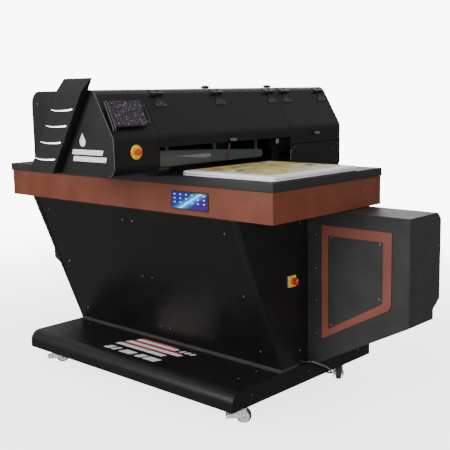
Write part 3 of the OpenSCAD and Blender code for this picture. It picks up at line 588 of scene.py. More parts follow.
OFF_SLOPE = (math.sin(SLOPE_ANGLE), math.cos(SLOPE_ANGLE))
SLOPE_TOP = (BROW_CENTRE[0] + BROW_R * OFF_SLOPE[0], BROW_CENTRE[1] + BROW_R * OFF_SLOPE[1])
SLOPE_PLACE = Matrix.Translation((HOOD_NOSE, 0, CREASE_Z)) @ Matrix.Rotation(SLOPE_ANGLE, 4, "Y")
GLAND = (26, 212)       # y and z of the lead's way out


def on_skin(x, z):
    """A place on the raked front skin."""
    y = SKIN_FOOT + (SKIN_TOP - SKIN_FOOT) * (z - TRAY_TOP) / (FASCIA_LOW - TRAY_TOP)
    return facing((x, y, z), OUT_X.cross(RAKE), RAKE)


def on_slope(y, down, out=0.0):
    """A place on the hood's slope, a distance down from the brow."""
    x = SLOPE_TOP[0] + down * DOWN_SLOPE[0] + out * OFF_SLOPE[0]
    z = SLOPE_TOP[1] + down * DOWN_SLOPE[1] + out * OFF_SLOPE[1]
    return facing((x, y, z), (OFF_SLOPE[0], 0, OFF_SLOPE[1]), (-DOWN_SLOPE[0], 0, -DOWN_SLOPE[1]))


def brow_arc(out, start):
    """The brow's profile in x and z, moved out by a distance, down to the top of the slope."""
    return arc_points(BROW_CENTRE, BROW_R + out, start, SLOPE_NORMAL, 8)


def hood_front(out, start):
    """The hood's front profile in x and z, moved out by a distance, from the brow to its foot."""
    reach = CREASE_R * math.tan((math.pi / 2 - SLOPE_ANGLE) / 2)
    crease = arc_points((HOOD_NOSE - CREASE_R, CREASE_Z - reach), CREASE_R + out, SLOPE_NORMAL, 0, 5)
    return brow_arc(out, start) + crease + [(HOOD_NOSE + out, HOOD_FOOT)]


def table_mm(point):
    """A point of the row frame in table millimetres."""
    return Vector((point[0] / MM, (point[1] + MID_Y) / MM, point[2] / MM))


# ---------------------------------------------------------------- power lead
# The same routes as the part's source, in table millimetres: gland to coil, and coil to plug
ROUTE = [(780, 26, 212), (792, 26, 213), (805, 31, 217), (816, 47, 215), (822, 73, 204),
         (821, 100, 190), (813, 134, 174), (803, 168, 158), (793, 203, 140), (784, 236, 119),
         (775, 262, 98), (764, 280, 84), (746, 292, 77), (715, 301, 72), (678, 308, 64),
         (640, 315, 50), (600, 322, 31), (555, 329, 13), (505, 333.5, 5), (440, 336, 4.5),
         (360, 335.5, 4.5), (280, 335, 4.5), (200, 334.5, 4.5)]
TAIL = [(229, 315, 27), (207, 333, 31.5), (196, 343, 31.5), (180, 356, 27), (164, 369.5, 22.5),
        (132, 381, 20), (100, 369.5, 20), (85, 348.5, 20), (80, 332, 20), (80, 322, 20)]
LEAD_D = 9
COIL_CENTRE, COIL_R = (200, 280), 50
COIL_STEPS = 18         # points for each turn
# radius and height of each turn's centre line, from the floor up
COIL_TURNS = [(54.5, 4.5), (45.5, 4.5), (45.5, 13.5), (54.5, 13.5), (54.5, 22.5), (45.5, 22.5)]
PLUG_X, PLUG_Y, PLUG_Z = 80, 280, 20


def coil_points():
    """Six flat turns; in its last quarter each one moves over to where the next one lies."""
    points = []
    for turn, (r0, z0) in enumerate(COIL_TURNS):
        r1, z1 = COIL_TURNS[turn + 1] if turn < 5 else (r0, z0 + 2)
        last = 16 if turn == 5 else COIL_STEPS
        for k in range(0 if turn else 1, last):
            t = max(0.0, (k / COIL_STEPS - 0.75) / 0.25)
            t = t * t * (3 - 2 * t)
            spot = polar(r0 + (r1 - r0) * t, 90 + 360 * k / COIL_STEPS, COIL_CENTRE)
            points.append((*spot, z0 + (z1 - z0) * t))
    return points


def make_lead():
    route = [at(*p) for p in ROUTE + coil_points() + TAIL]
    data = bpy.data.curves.new("power_lead_cord", "CURVE")
    data.dimensions = "3D"
    data.bevel_depth = LEAD_D / 2 * MM
    data.bevel_resolution = 4
    data.resolution_u = 5
    data.use_fill_caps = True
    spline = data.splines.new("BEZIER")
    spline.bezier_points.add(len(route) - 1)
    for point, place in zip(spline.bezier_points, route):
        point.co = place
        point.handle_left_type = point.handle_right_type = "AUTO"
    data.materials.append(MAT["lead"])
    cord = bpy.data.objects.new("power_lead_cord", data)
    scene.collection.objects.link(cord)
    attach(cord, "machine")
    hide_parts("power_lead", "lead_coil")

    # ribbed sleeve at the gland: it tapers along the lead's first bend
    line = [(BODY_X + 5, *GLAND), (BODY_X + 14, *GLAND)] + smooth_path(ROUTE[:4], 8)
    count = len(line) - 2
    radii = [7.6 - 2.4 * k / count - (0.7 if k % 4 > 1 and 2 < k < count - 3 else 0) for k in range(count)]
    relief = piece("strain_relief_sleeve", "plastic", tube(line, [8.6, 8.6] + radii, 16))

    # plug: a round body with a grip waist, a sleeve and two pins
    body = lathe([(17, -25), (19.3, -23), (19.3, -14), (17.6, -8), (17.6, 4), (18.8, 9), (18.4, 14), (12, 20),
                  (8.8, 24), (8.2, 40), (6, 42)], facing((PLUG_X, PLUG_Y, PLUG_Z), OUT_Y))
    plug = piece("power_plug_body", "plastic", body, replaces="power_plug")
    pins = [lathe([(1.4, -44), (2.4, -42.5), (2.4, -24)], facing((PLUG_X + x, PLUG_Y, PLUG_Z), OUT_Y), 14)
            for x in (-9.5, 9.5)]
    pins = piece("power_plug_pins", "chrome", *pins, slot="zinc_steel")

    # the coil's tie
    turn = 200
    along = polar(1, turn + 90)
    around = facing((*polar(COIL_R, turn, COIL_CENTRE), 13.5), (*along, 0))
    ring = rectangle((-10.2, 10.2), (-13.4, 14.4), 3.5, 4)
    grown = [([(x * grow, y * grow if y < 0 else y) for x, y in ring], h)
             for grow, h in ((1.0, -4), (1.06, -4), (1.06, 4), (1.0, 4))]
    piece("coil_tie", "plastic", stack(around, *grown, closed=True))


make_lead()


# ---------------------------------------------------------------- hood
HINGES = {"lid_main": (-390, 10, 410), "lid_far": (536, 844)}     # where each lid's knuckles lie
HOOD_BACK = -212


def end_edge(name, y, foot_r, low):
    """A fine lighter tube that runs round the front of an end plate: a painted highlight along its edge."""
    out = 0.4
    path = [(x, y, z) for x, z in hood_front(out, 96)]
    path[-1] = (HOOD_NOSE + out, y, low + foot_r)
    if foot_r:
        foot = arc_points((HOOD_NOSE - foot_r, low + foot_r), foot_r + out, 0, -88, 7)
        path += [(x, y, z) for x, z in foot]
    piece(name, "edge", tube(path, 1.9, 8), slot="black_coat")


def make_hood():
    # a lighter band laid over the brow paints the highlight along the hood's top edge
    outer, inner = brow_arc(0.9, 97), brow_arc(-0.3, 97)
    cap = along_y(outer + [outer[-1], inner[-1]] + inner[::-1], HOOD_NEAR + 2, HOOD_FAR - 2)
    piece("brow_highlight_band", "brow", cap, bevel=0.0003, segments=1)
    end_edge("near_end_edge", HOOD_NEAR + 1.5, 42, 1138)
    end_edge("far_end_edge", HOOD_FAR - 1.5, 0, 1084)
    # the seam that the lids close against
    seam = [on_slope(y, 3.2, -0.5).translation for y in (MOUTH_NEAR + 4, HOOD_FAR - 6)]
    piece("brow_seal", "rubber", tube(seam, 1.5, 8))
    # hinge leaves: a waisted plate under each knuckle, screwed to its lid
    leaf = [(-36, -52), (-36, -66), (36, -66), (36, -52), (17, -30), (-17, -30)]
    leaf = rounded(leaf, [6, 7, 7, 6, 8, 8], 4)
    for body, knuckles in HINGES.items():
        piece(body + "_hinge_leaves", "plastic", *[prism(leaf, 0.1, 3.2, on_slope(k, 0)) for k in knuckles],
              body=body, bevel=0.0009)
        places = [on_slope(k + off, down, 3.2) for k in knuckles
                  for off, down in ((-25, 58), (25, 58), (0, 50))]
        screws(body + "_hinge_screws", places, 4.2, body=body)
    places = []
    for k in HINGES["lid_main"] + HINGES["lid_far"]:
        for y in (k - 26.5, k + 26.5):
            for turn in (44, 62):
                x, z = polar(BROW_R + 3.1, turn, BROW_CENTRE)
                out = polar(1, turn)
                places.append(facing((x, y, z), (out[0], 0, out[1]), OUT_Y))
    screws("brow_screws", places, 3.6)
    # oval pulls: a satin dish on each lid's grip
    dish = [(1.0, 0), (1.0, 2.2), (0.95, 3.4), (0.86, 3.8), (0.76, 3.2), (0.6, 1.8), (0.3, 1.2)]
    levels = [([(25 * s * x, 7.6 * s * y) for x, y in circle(1, 36)], h) for s, h in dish]
    for name, body, y in (("pull_main", "lid_main", 0), ("pull_far", "lid_far", 680)):
        piece(name, "satin", stack(facing((HOOD_NOSE + 9.4, y, 1260.6), (1, 0, 0.1)), *levels), body=body)
    # domed vent caps on a grooved neck
    neck = [(20, 0.1), (20, 2.4), (18.4, 3), (18.4, 5), (20, 5.6), (25.4, 6), (26, 7)]
    turns = [math.pi / 2 * k / 8 for k in range(9)]
    profile = neck + [(26.0 * math.cos(t), 8 + 10 * math.sin(t)) for t in turns]
    vents = [facing((0, y, HOOD_TOP), OUT_Z, OUT_Y) for y in (200, 710)]
    piece("vent_domes", "plastic", *[lathe(profile, vent, 40) for vent in vents], replaces="vent_caps")
    # latch and its striker on the far lower panel, and a satin tube that paints the highlight on the lit edge
    # of that panel at the mouth
    latch = facing((HOOD_NOSE, 832, 1162), OUT_X)
    piece("panel_latch", "plastic", prism(rectangle((-20, 20), (-7, 7), 6), 0.1, 3.4, latch),
          prism(rectangle((-9, 5), (-3, 3), 2.5), 3.4, 5.6, latch), bevel=0.0006)
    edge = [(MOUTH_FAR - 0.4, 1121), (MOUTH_FAR - 0.4, 1170), (MOUTH_FAR + 3, 1176), (MOUTH_FAR + 22, 1177)]
    piece("mouth_edge_highlight", "satin", tube([(HOOD_NOSE + 0.6, y, z) for y, z in edge], 1.7, 8))
    places = [facing((HOOD_NOSE, y, z), OUT_X) for y in (492, 880) for z in (1100, 1192)]
    screws("far_panel_screws", places, 4)
    # folded skirt under the far housing, beyond the table's edge
    outer, inner = rectangle((-211, 369), (470, 907), 3), rectangle((-209.4, 367.4), (471.6, 905.4), 2)
    piece("far_housing_skirt", "hood",
          stack(Matrix(), (outer, 1062), (outer, 1081), (inner, 1081), (inner, 1062), closed=True))
    # screws along the hood's back and on the end plates
    places = [facing((HOOD_BACK, y, z), -OUT_X) for y in range(-700, 901, 200) for z in (1190, 1460)]
    screws("hood_back_screws", places, 4)
    low, high = (-170, 1180), (-170, 1450)
    screws("near_plate_screws", [facing((x, HOOD_NEAR, z), -OUT_Y) for x, z in (low, high)], 4)
    spots = [low, high, (60, 1180), (300, 1180), (150, 1450)]
    screws("far_plate_screws", [facing((x, HOOD_FAR - 2.2, z), OUT_Y) for x, z in spots], 4)


# ---------------------------------------------------------------- light fin
FIN_W, FIN_OUT, FIN_ROOT = 235, 39.0, 1.2         # width, and how far its edge and its root stand off
FIN_FOOT, FIN_CREASE_Z, FIN_TOP = 1138, 1503, 1559.6
FIN_TIP_X = (50, 246)
FIN_TURN = 0.6          # share of the width over which the tip narrows
STRIP_Z = (1195, 1272, 1347, 1419)


def fin_x(z, share):
    """Where a share of the fin's width lies at a height."""
    return -20 + 240 * (z - FIN_FOOT) / (HOOD_TOP - FIN_FOOT) - FIN_W * (1 - share)


def fin_spot(z, share, out=0.0):
    """A point off the fin's face, which sweeps out of the end plate into its edge."""
    off = FIN_ROOT + (FIN_OUT - FIN_ROOT) * share ** 1.45
    return Vector((fin_x(z, share), HOOD_NEAR - off - out, z))


def make_fin():
    shares = [k / 22 for k in range(23)]
    plate_y = HOOD_NEAR - 0.2
    rings = []
    for k in range(17):
        z = FIN_FOOT + (FIN_CREASE_Z - FIN_FOOT) * k / 16
        back = [Vector((fin_x(z, 1) - 5, plate_y, z)), Vector((fin_x(z, 0), plate_y, z))]
        rings.append([fin_spot(z, s) for s in shares] + back)
    # above the crease the face folds back to a thin top edge
    x0, x1 = FIN_TIP_X
    tips = []
    for s in shares:
        x = x0 + (x1 - x0) * min(1.0, s / FIN_TURN) + 0.25 * max(0.0, s - FIN_TURN)
        tips.append((x, HOOD_NEAR - 3))
    tips += [(x1 + 0.3, plate_y), (x0, plate_y)]
    crease = rings[-1]
    for lift in (0.25, 0.5, 0.75, 1.0):
        rings.append([low.lerp(Vector((*tip, FIN_TOP)), lift) for low, tip in zip(crease, tips)])
    piece("light_fin_shell", "fin", loft(rings), bevel=0.0016, angle=26, replaces="light_fin")

    # each light is a slim bowed lens that swells towards the fin's edge, in a dark frame
    steps = 22
    lenses, bezels = [], []
    for z in STRIP_Z:
        for skins, grow, lift in ((bezels, 2.2, 0.5), (lenses, 0.0, 1.3)):
            section = [(-1, -0.5), (-0.8, lift), (0, lift + 0.9), (0.8, lift), (1, -0.5)]
            rings = []
            for k in range(steps + 1):
                s = 0.05 + 0.83 * k / steps
                bow = 7 * ((s - 0.3) / 0.58) ** 2 if s > 0.3 else 5 * ((0.3 - s) / 0.25) ** 2
                half = 1.2 + 3.5 * (k / steps) ** 0.8 + grow
                if k in (0, steps):
                    half *= 0.55
                rings.append([fin_spot(z + bow + half * a, s, b) for a, b in section])
            skins.append(loft(rings))
    piece("light_lenses", "diffuser", *lenses, replaces="light_strips")
    piece("light_bezels", "plastic", *bezels)

    # a plain mark on the end plate: a drop over two bars
    plate = facing((198, HOOD_NEAR, 1262), -OUT_Y)
    marks = [[(-38, 60)] + arc_points((-38, 22), 21, 32, -212, 20)]
    for y, left, right in ((-23, -118, 96), (-53, -112, 118)):
        marks.append([(left, y - 11), (right, y - 11), (right + 8, y + 11), (left + 8, y + 11)])
    piece("plate_mark", "print_white", *[prism(mark, 0.05, 0.7, plate) for mark in marks])


# ---------------------------------------------------------------- controls
TABLET_PLACE = SLOPE_PLACE @ Matrix.Translation((-48, 0, 12)) @ Matrix.Rotation(math.radians(5), 4, "Y")


def make_tablet():
    # along x the tablet runs down the slope, along y across it, and z stands off it
    body = rectangle((-121.5, -0.5), (-715.5, -534.5), 7)
    inner = rectangle((-119, -3), (-713, -537), 6)
    screen = rectangle((-116, -6), (-709, -541), 2)
    levels = [(inner, 0.3), (body, 2), (body, 7.6), (inner, 9.6), (screen, 9.8), (screen, 9.1)]
    piece("tablet_case", "plastic", stack(TABLET_PLACE, *levels), replaces="operator_tablet")
    piece("tablet_screen", "tablet_ui",
          prism(rectangle((-115.6, -6.4), (-708.6, -541.4), 2), 9.15, 9.7, TABLET_PLACE))
    # arms behind it, a double rail on its near side and a bracket on its far side
    arm = rounded([(-150, 0.3), (-62, 0.3), (-62, 13), (-150, 20.6)], [3, 3, 2, 2], 3)
    piece("tablet_arms", "frame",
          *[loft([[SLOPE_PLACE @ Vector((x, edge, h)) for x, h in arm] for edge in (y, y + 15)])
            for y in (-690, -575)], bevel=0.0008)
    rails = [[(-124, y, lift), (-60, y, lift), (6, y, lift), (10, y, lift - 3), (11, y, -6)]
             for y, lift in ((-722, 7.5), (-731, 4.0))]
    rails = [[TABLET_PLACE @ Vector(p) for p in rail] for rail in rails]
    piece("tablet_rails", "edge", *[tube(rail, 2.3, 10) for rail in rails])
    clamps = [prism(rectangle((x - 5, x + 5), (-534, -517), 2.5), 1.5, 6, TABLET_PLACE) for x in (-96, -22)]
    post = prism(rectangle((-108, -6), (-519, -514), 2), -2, 7, TABLET_PLACE)
    piece("tablet_bracket", "frame", *clamps, post, bevel=0.0007)


def make_estop():
    ring = facing((HOOD_NOSE, -621, 1238), OUT_X)
    collar = [(8.4, 0.1), (32, 0.1), (32, 5.5), (31, 8.2), (28.6, 10), (24, 10.9), (19, 10.4), (16.6, 9.2),
              (15.6, 7), (8.4, 6.6)]
    piece("estop_collar", "yellow", lathe(collar, ring, 48, closed=True), replaces="estop_ring")
    mushroom = [(7.6, -12), (7.9, -11), (7.9, 17), (11, 17.2), (13.2, 18.2), (14, 20), (14, 24), (13.3, 27),
                (11.4, 29), (8.5, 29.9), (4, 29.6), (2, 29.4)]
    piece("estop_mushroom", "red", lathe(mushroom, ring, 40), body="estop_button", replaces="estop_button")
    # turn-to-release arrows, raised on the collar
    arrows = []
    for start in (8, 128, 248):
        end = start + 60
        head = [polar(28.6, end), polar(24.8, end + 16), polar(21, end)]
        arrows.append(arc_points((0, 0), 26.2, start, end) + head + arc_points((0, 0), 23.4, end, start))
    piece("estop_arrows", "print_red", *[prism(arrow, 10.2, 11.0, ring) for arrow in arrows])


def make_isolator():
    face = facing((BODY_X, -31, 614), OUT_X)
    outline = rectangle((-26, 26), (-27, 27), 4)
    inner = rectangle((-24.4, 24.4), (-25.4, 25.4), 3)
    piece("isolator_face", "yellow", stack(face, (outline, 0.1), (outline, 7.2), (inner, 8.8)),
          replaces="isolator_plate")
    piece("isolator_side", "hub", prism(rectangle((-29.5, -26.2), (-26, 26), 1.2), 0.1, 7, face),
          slot="zinc_steel", bevel=0.0005)
    places = [face @ Matrix.Translation((a, b, 8.8)) for a in (-20, 20) for b in (-21, 21)]
    screws("isolator_screws", places, 2.4)
    grip = rectangle((-5.9, 5.9), (-15.4, 15.4), 5.4, 6)
    slim = rectangle((-4.4, 4.4), (-14, 14), 4.2, 6)
    dial = lathe([(5, -20), (5, 9.7), (15.4, 9.7), (16, 10.6), (16, 17.5), (15, 19.6), (13, 20)], face, 36)
    piece("isolator_handle", "red", dial, stack(face, (grip, 18), (grip, 33.5), (slim, 37.6)),
          body="isolator_knob", replaces="isolator_knob")
    piece("isolator_pointer", "print_white", prism(rectangle((-1.1, 1.1), (3, 13.4), 0.9), 37.6, 38.0, face),
          body="isolator_knob")
    # gland: a hexagon nut on a collar
    gland = facing((BODY_X, *GLAND), OUT_X)
    nut = [(hexagon(r, 36), h) for r, h in ((11.2, 3), (11.6, 4), (11.6, 11), (10.8, 12))]
    piece("lead_gland", "plastic", lathe([(13, 0.1), (13, 2.2), (11.6, 3)], gland, 36), stack(gland, *nut),
          lathe([(9, 12), (9, 14), (8.4, 16), (8.4, 20), (7.8, 22.6)], gland, 36))


# ---------------------------------------------------------------- table, bed and mouth
SHIELD_X, HANGER_X = 304, 300
HANGER_Y = (-380, -60, 250)


def make_table():
    fascia = [facing((x, FASCIA_FRONT, FASCIA_SCREW_Z), -OUT_Y) for x in (-900, -420, 647, 900)]
    near_end = ((280, 1022), (-11, 1045), (-92, 1025), (-143, 1021))
    fascia += [facing((FASCIA_END, y, z), OUT_X) for y, z in near_end]
    fascia += [facing((-FASCIA_END, y, FASCIA_SCREW_Z), -OUT_X) for y in (-300, -40, 220)]
    fascia += [facing((x, FASCIA_BACK, FASCIA_SCREW_Z), OUT_Y) for x in range(-860, 861, 344)]
    screws("fascia_screws", fascia, 4.2, material="screw_bronze")
    # folded strips at the fascia's two back corners, as (out, back) offsets from the corner
    strip = [(1.4, -26), (1.4, 1.4), (-26, 1.4), (-26, 0.1), (0.1, 0.1), (0.1, -26)]
    corners = [[(s * (FASCIA_END + out), FASCIA_BACK + back) for out, back in strip] for s in (1, -1)]
    piece("fascia_corner_strips", "bronze", *[prism(c, FASCIA_LOW + 1, RIM_LOW - 1) for c in corners],
          bevel=0.0004)
    # a fine aluminium lip round the bed, under its white skin
    outer = rectangle((403.2, 944.8), (-380.8, 236.8), 18.6)
    inner = rectangle((404.2, 943.8), (-379.8, 235.8), 18)
    lip = stack(Matrix(), (inner, 1126.5), (outer, 1126.5), (outer, 1129), (inner, 1129), closed=True)
    piece("bed_lip", "alu", lip, body="bed")
    spots = [(430, -350), (918, -350), (918, 206), (674, -352)]
    screws("bed_screws", [facing((x, y, 1140), OUT_Z, OUT_Y) for x, y in spots], 3.2, body="bed")


def make_mouth():
    # printed-on acrylic shield with a round far end and a sloping top edge
    outline = [(-418, 1153), (286, 1153)] + arc_points((288, 1173), 20, -90, 78)
    outline += [(-100, 1213), (-418, 1227.5)]
    piece("ink_shield", "shield", along_x(outline, 300.3, 303.7), bevel=0.0008, replaces="uv_shield")
    hanger = facing((HANGER_X, 0, 0), OUT_X)
    plates = [prism(rectangle((y, y + 20), (1186 if y > 0 else 1200, 1300.4), 2), -3.8, 0, hanger)
              for y in HANGER_Y]
    header = rounded([(240.5, 1300.3), (299.5, 1300.3), (299.5, 1305.7), (240.5, 1305.7)], 1.5, 2)
    gusset = [(238.5, 1300.5), (299.5, 1300.5), (299.5, 1329), (247, 1486), (239, 1493)]
    piece("shield_hangers", "frame", *plates, along_y(header, MOUTH_NEAR + 4, MOUTH_FAR - 4),
          *[along_y(gusset, y, y + 2.4) for y in (MOUTH_NEAR + 0.3, MOUTH_FAR - 2.7)], bevel=0.0006)
    # brown strap on the shield, and the folded lips at its edges
    strap = [(304, 52, 1236), (305.4, 50, 1222), (305.2, 44, 1196), (305.2, 36, 1170), (304.4, 31, 1156)]
    section = rectangle((-0.8, 1.2), (-8, 8), 0.7, 2)
    piece("shield_strap", "strap", loft([(x + a, y + b, z) for a, b in section] for x, y, z in strap))
    piece("shield_edges", "edge", tube([(SHIELD_X, -414, 1154.5), (SHIELD_X, 288, 1154.5)], 1.3, 8),
          tube([(301.5, -416, 1228.6), (301.5, -100, 1214.2), (301.5, 284, 1194)], 1.2, 8))
    screws("shield_screws", [facing((303.8, y + 10, 1208 - 0.05 * y), OUT_X) for y in HANGER_Y], 3.6)
    # rubber-edged wiper box by the bed's near corner
    box = [(rectangle((262 + c, 338 - c), (-474 + c, -388 - c), 14 - c / 2), h)
           for c, h in ((0, 1118), (0, 1148), (2, 1152), (6, 1154))]
    piece("wiper_box", "plastic", stack(Matrix(), *box))
    rim = [(x, y, 1150) for x, y in box[0][0]]
    piece("wiper_box_edge", "edge", tube(rim + rim[:1], 1.4, 8))
    # brush curtain over the way out at the back: a holder and two staggered rows of bristles
    holder = [(-211, 1176), (-198, 1176), (-198, 1192), (-200, 1194), (-211, 1194)]
    piece("brush_holder", "frame", along_y(holder, MOUTH_NEAR + 3, MOUTH_FAR - 3), bevel=0.0006)
    tufts = []
    count = 116
    for row, x in enumerate((-207.5, -202.5)):
        for k in range(count):
            y = MOUTH_NEAR + 6 + (k + row * 0.5) * (MOUTH_FAR - MOUTH_NEAR - 14) / count
            sway = 1.2 * math.sin(k * 2.4 + row)
            tufts.append(loft([(x + sway * t + r * a, y + 0.4 * sway * t + r * b, z) for a, b in circle(1, 5)]
                              for t, r, z in ((0, 4.1, 1177), (0.5, 4.0, 1160), (1, 3.4, 1144.5))))
    piece("brush_curtain", "belt", *tufts)
    # end stop and two level marks at the mouth's far end
    stop = facing((284, 0, 0), OUT_X)
    piece("end_stop_block", "plastic", prism(rectangle((396, 452), (1124, 1172), 8), 0, 14, stop),
          prism(rectangle((410, 438), (1172, 1200), 5), 0, 9, stop), bevel=0.0012)
    piece("level_marks", "print_white",
          *[prism(rectangle((y, y + 5), (1214, 1236), 1.5), 0, 0.5, hanger) for y in (424, 437)])


# ---------------------------------------------------------------- body, tray and housings
def make_skins():
    places = [on_skin(x, z) for z in (873, 567, 275) for x in (-655, -35, 35, 655)]
    places += [facing((s * BODY_X, 32, z), s * OUT_X) for s in (-1, 1) for z in (264, 880)]
    screws("skin_screws", places)
    # cover strip over the joint between the two front skins
    lip = [(-5, -0.4), (5, -0.4), (4.4, 0.5), (1.4, 0.7), (0.5, -0.2), (-0.5, -0.2), (-1.4, 0.7), (-4.4, 0.5)]
    ends = [on_skin(0, z) for z in (TRAY_TOP + 4, FASCIA_LOW - 2)]
    piece("skin_joint", "skin", loft([place @ Vector((x, 0, h)) for x, h in lip] for place in ends))
    # folded facets at the two outer edges: wide under the table, gone at the foot
    folds = []
    for s in (-1, 1):
        rings = []
        for k in range(9):
            t = k / 8
            wide = 3 + 35 * t
            place = on_skin(s * (BODY_X + 0.3), TRAY_TOP + 6 + t * (FASCIA_LOW - TRAY_TOP - 8))
            section = [(0, -2.5), (0, 0.2), (wide * 0.5, 1.9 * t + 0.3), (wide, 2.9 * t + 0.35),
                       (wide + 2, -0.5)]
            rings.append([place @ Vector((-s * a, 0, h)) for a, h in section])
        folds.append(loft(rings))
    piece("skin_edge_folds", "black", *folds)
    # angle trim along the foot of the skins: (forward, up) and (outward, up) offsets
    front = [(1, 0.2), (15, 0.2), (15, 2), (3.4, 2.2), (8.4, 14), (6.6, 14)]
    side = [(0.1, 0.2), (6.6, 0.2), (6.6, 1.8), (1.8, 1.8), (1.8, 12), (0.1, 12)]
    trims = [along_x([(SKIN_FOOT - y, TRAY_TOP + z) for y, z in front], -BODY_X, BODY_X)]
    trims += [along_y([(s * (BODY_X + x), TRAY_TOP + z) for x, z in side], SKIN_FOOT - 2, back)
              for s, back in ((-1, 98), (1, 12))]
    piece("foot_trim", "trim", *trims, bevel=0.0003, segments=1)


TRAY_MARK = facing((0, -400, TRAY_TOP), OUT_Z, OUT_Y)
MARK_LEFT, MARK_LEAN = -262, 0.45


def slanted(left, right, low, high):
    """A leaning bar of the tray's mark."""
    spots = [(left, low), (right, low), (right, high), (left, high)]
    return prism(rounded([(x + MARK_LEAN * y, y) for x, y in spots], 4, 3), 0.05, 0.5, TRAY_MARK)


def make_tray():
    spots = [(x, y) for sides in ((-165, -291), (420, 590)) for x in (-612, 650) for y in sides]
    places = [facing((x, y, TRAY_TOP), OUT_Z, OUT_Y) for x, y in spots]
    places += [facing((s * 764, y, 145), s * OUT_X) for s in (-1, 1) for y in (-330, 93, 520)]
    places += [facing((x, 626, 145), OUT_Y) for x in (-600, -200, 200, 600)]
    screws("tray_screws", places)
    # plain mark printed on the tray: long slanted stripes over a row of short blocks
    rows = [(96 + 52 * k, right) for k, right in enumerate((98, 138, 38))]
    white = [slanted(MARK_LEFT, right, low, low + 30) for low, right in rows]
    red = [slanted(MARK_LEFT, right - 30, low + 34, low + 46) for low, right in rows]
    white += [slanted(66 + 36 * k, 88 + 36 * k, 200, 230) for k in range(3)]
    white += [slanted(-226 + 60 * k, -226 + 60 * k + wide, 16, 62)
              for k, wide in enumerate((44, 26, 58, 26, 44, 58, 26))]
    piece("tray_mark", "print_white", *white)
    piece("tray_mark_lines", "print_red", *red)


WINDOW_OUTER = ((836, 320), (1212, 524), (1212, 869), (836, 869))
WINDOW_INNER = ((872, 373), (1170, 543), (1170, 823), (872, 823))
WINDOW_MIDDLE = (1020, 620)
FAN_X, FAN_Z = (-980, 980), 745


def window_outline(side, corners, radius, inset=0.0):
    """A four-sided window edge with one large round corner; inset draws it in towards its middle."""
    points = [[value - math.copysign(inset, value - middle) for value, middle in zip(corner, WINDOW_MIDDLE)]
              for corner in corners]
    return [(side * x, z) for x, z in rounded(points, [3, radius, 5, 5], 8)]


def joint_strip(x, half, y, low):
    """A thin upright strip over the joint between a housing and the body."""
    return prism([(x - half, y), (x + half, y), (x + half, y + 1.2), (x - half, y + 1.2)], low, 932)


def make_housings():
    front = facing((0, HOUSING_Y, 0), -OUT_Y)
    trims = []
    for side in (-1, 1):
        outer, inner = window_outline(side, WINDOW_OUTER, 46), window_outline(side, WINDOW_INNER, 20)
        crest_out = window_outline(side, WINDOW_OUTER, 45.2, 0.8)
        crest_in = window_outline(side, WINDOW_INNER, 20.8, -0.8)
        trims.append(stack(front, (outer, 0.05), (outer, 2.9), (crest_out, 3.7), (crest_in, 3.7),
                           (inner, 2.9), (inner, 0.05), closed=True))
    piece("window_trims", "bronze_flat", *trims, replaces="trim_frames")
    places = []
    for s in (-1, 1):
        panel = ((890, 815), (1151, 812), (1150, 562), (890, 398))
        places += [facing((s * x, HOUSING_Y - 2, z), -OUT_Y) for x, z in panel]
        places += [facing((s * 801, HOUSING_Y, z), -OUT_Y) for z in (822, 659, 503, 341)]
        places += [facing((s * (HOUSING_END - 2.2), 191, z), s * OUT_X) for z in (826, 666, 506)]
        places += [facing((s * x, HOUSING_BACK, z), OUT_Y) for x in (820, 1040, 1250) for z in (600, 890)]
    middle = (-700, -350, 0, 350, 700)
    places += [facing((x, HOUSING_BACK, z), OUT_Y) for x in middle for z in (570, 910)]
    places += [facing((x, 316, 230), OUT_Y) for x in middle]
    screws("housing_screws", places)
    # joint strips where the housings meet the body, front and back
    strips = [joint_strip(s * BODY_X, *strip) for s in (-1, 1)
              for strip in ((1.2, 100.2, TRAY_TOP + 6), (2, 371.6, 541))]
    piece("housing_joint_strips", "rubber", *strips)
    # rear service details: two fan guards and a blank data plate
    hubs = [facing((x, HOUSING_BACK, FAN_Z), OUT_Y) for x in FAN_X]
    bars = []
    for hub in hubs:
        for r in (16, 28, 40, 52):
            turns = [math.tau * k / 28 for k in range(29)]
            bars.append(tube([hub @ Vector((r * math.cos(t), r * math.sin(t), 3.4)) for t in turns], 1.2, 6))
        for turn in (45, 135, 225, 315):
            spoke = [hub @ Vector((*polar(r, turn), h)) for r, h in ((8, 3.4), (54, 3.4), (60, 0.6))]
            bars.append(tube(spoke, 1.4, 6))
    piece("fan_guards", "chrome", *bars)
    plate = [(61, 0.1), (61, 1.2), (56, 1.6), (56, 0.4), (10, 0.4), (10, 2.2)]
    piece("fan_plates", "plastic", *[lathe(plate, hub, 40) for hub in hubs])
    piece("blank_data_plate", "satin",
          prism(rectangle((-60, 60), (-35, 35), 4), 0.1, 0.9, facing((420, HOUSING_BACK, FAN_Z), OUT_Y)))


# ---------------------------------------------------------------- casters
WHEEL_R, WHEEL_HALF, TRAIL = 35, 13, 22


def mirrored(profile):
    """A wheel's (radius, height) profile followed by its mirror image."""
    return profile + [(r, -h) for r, h in reversed(profile)]


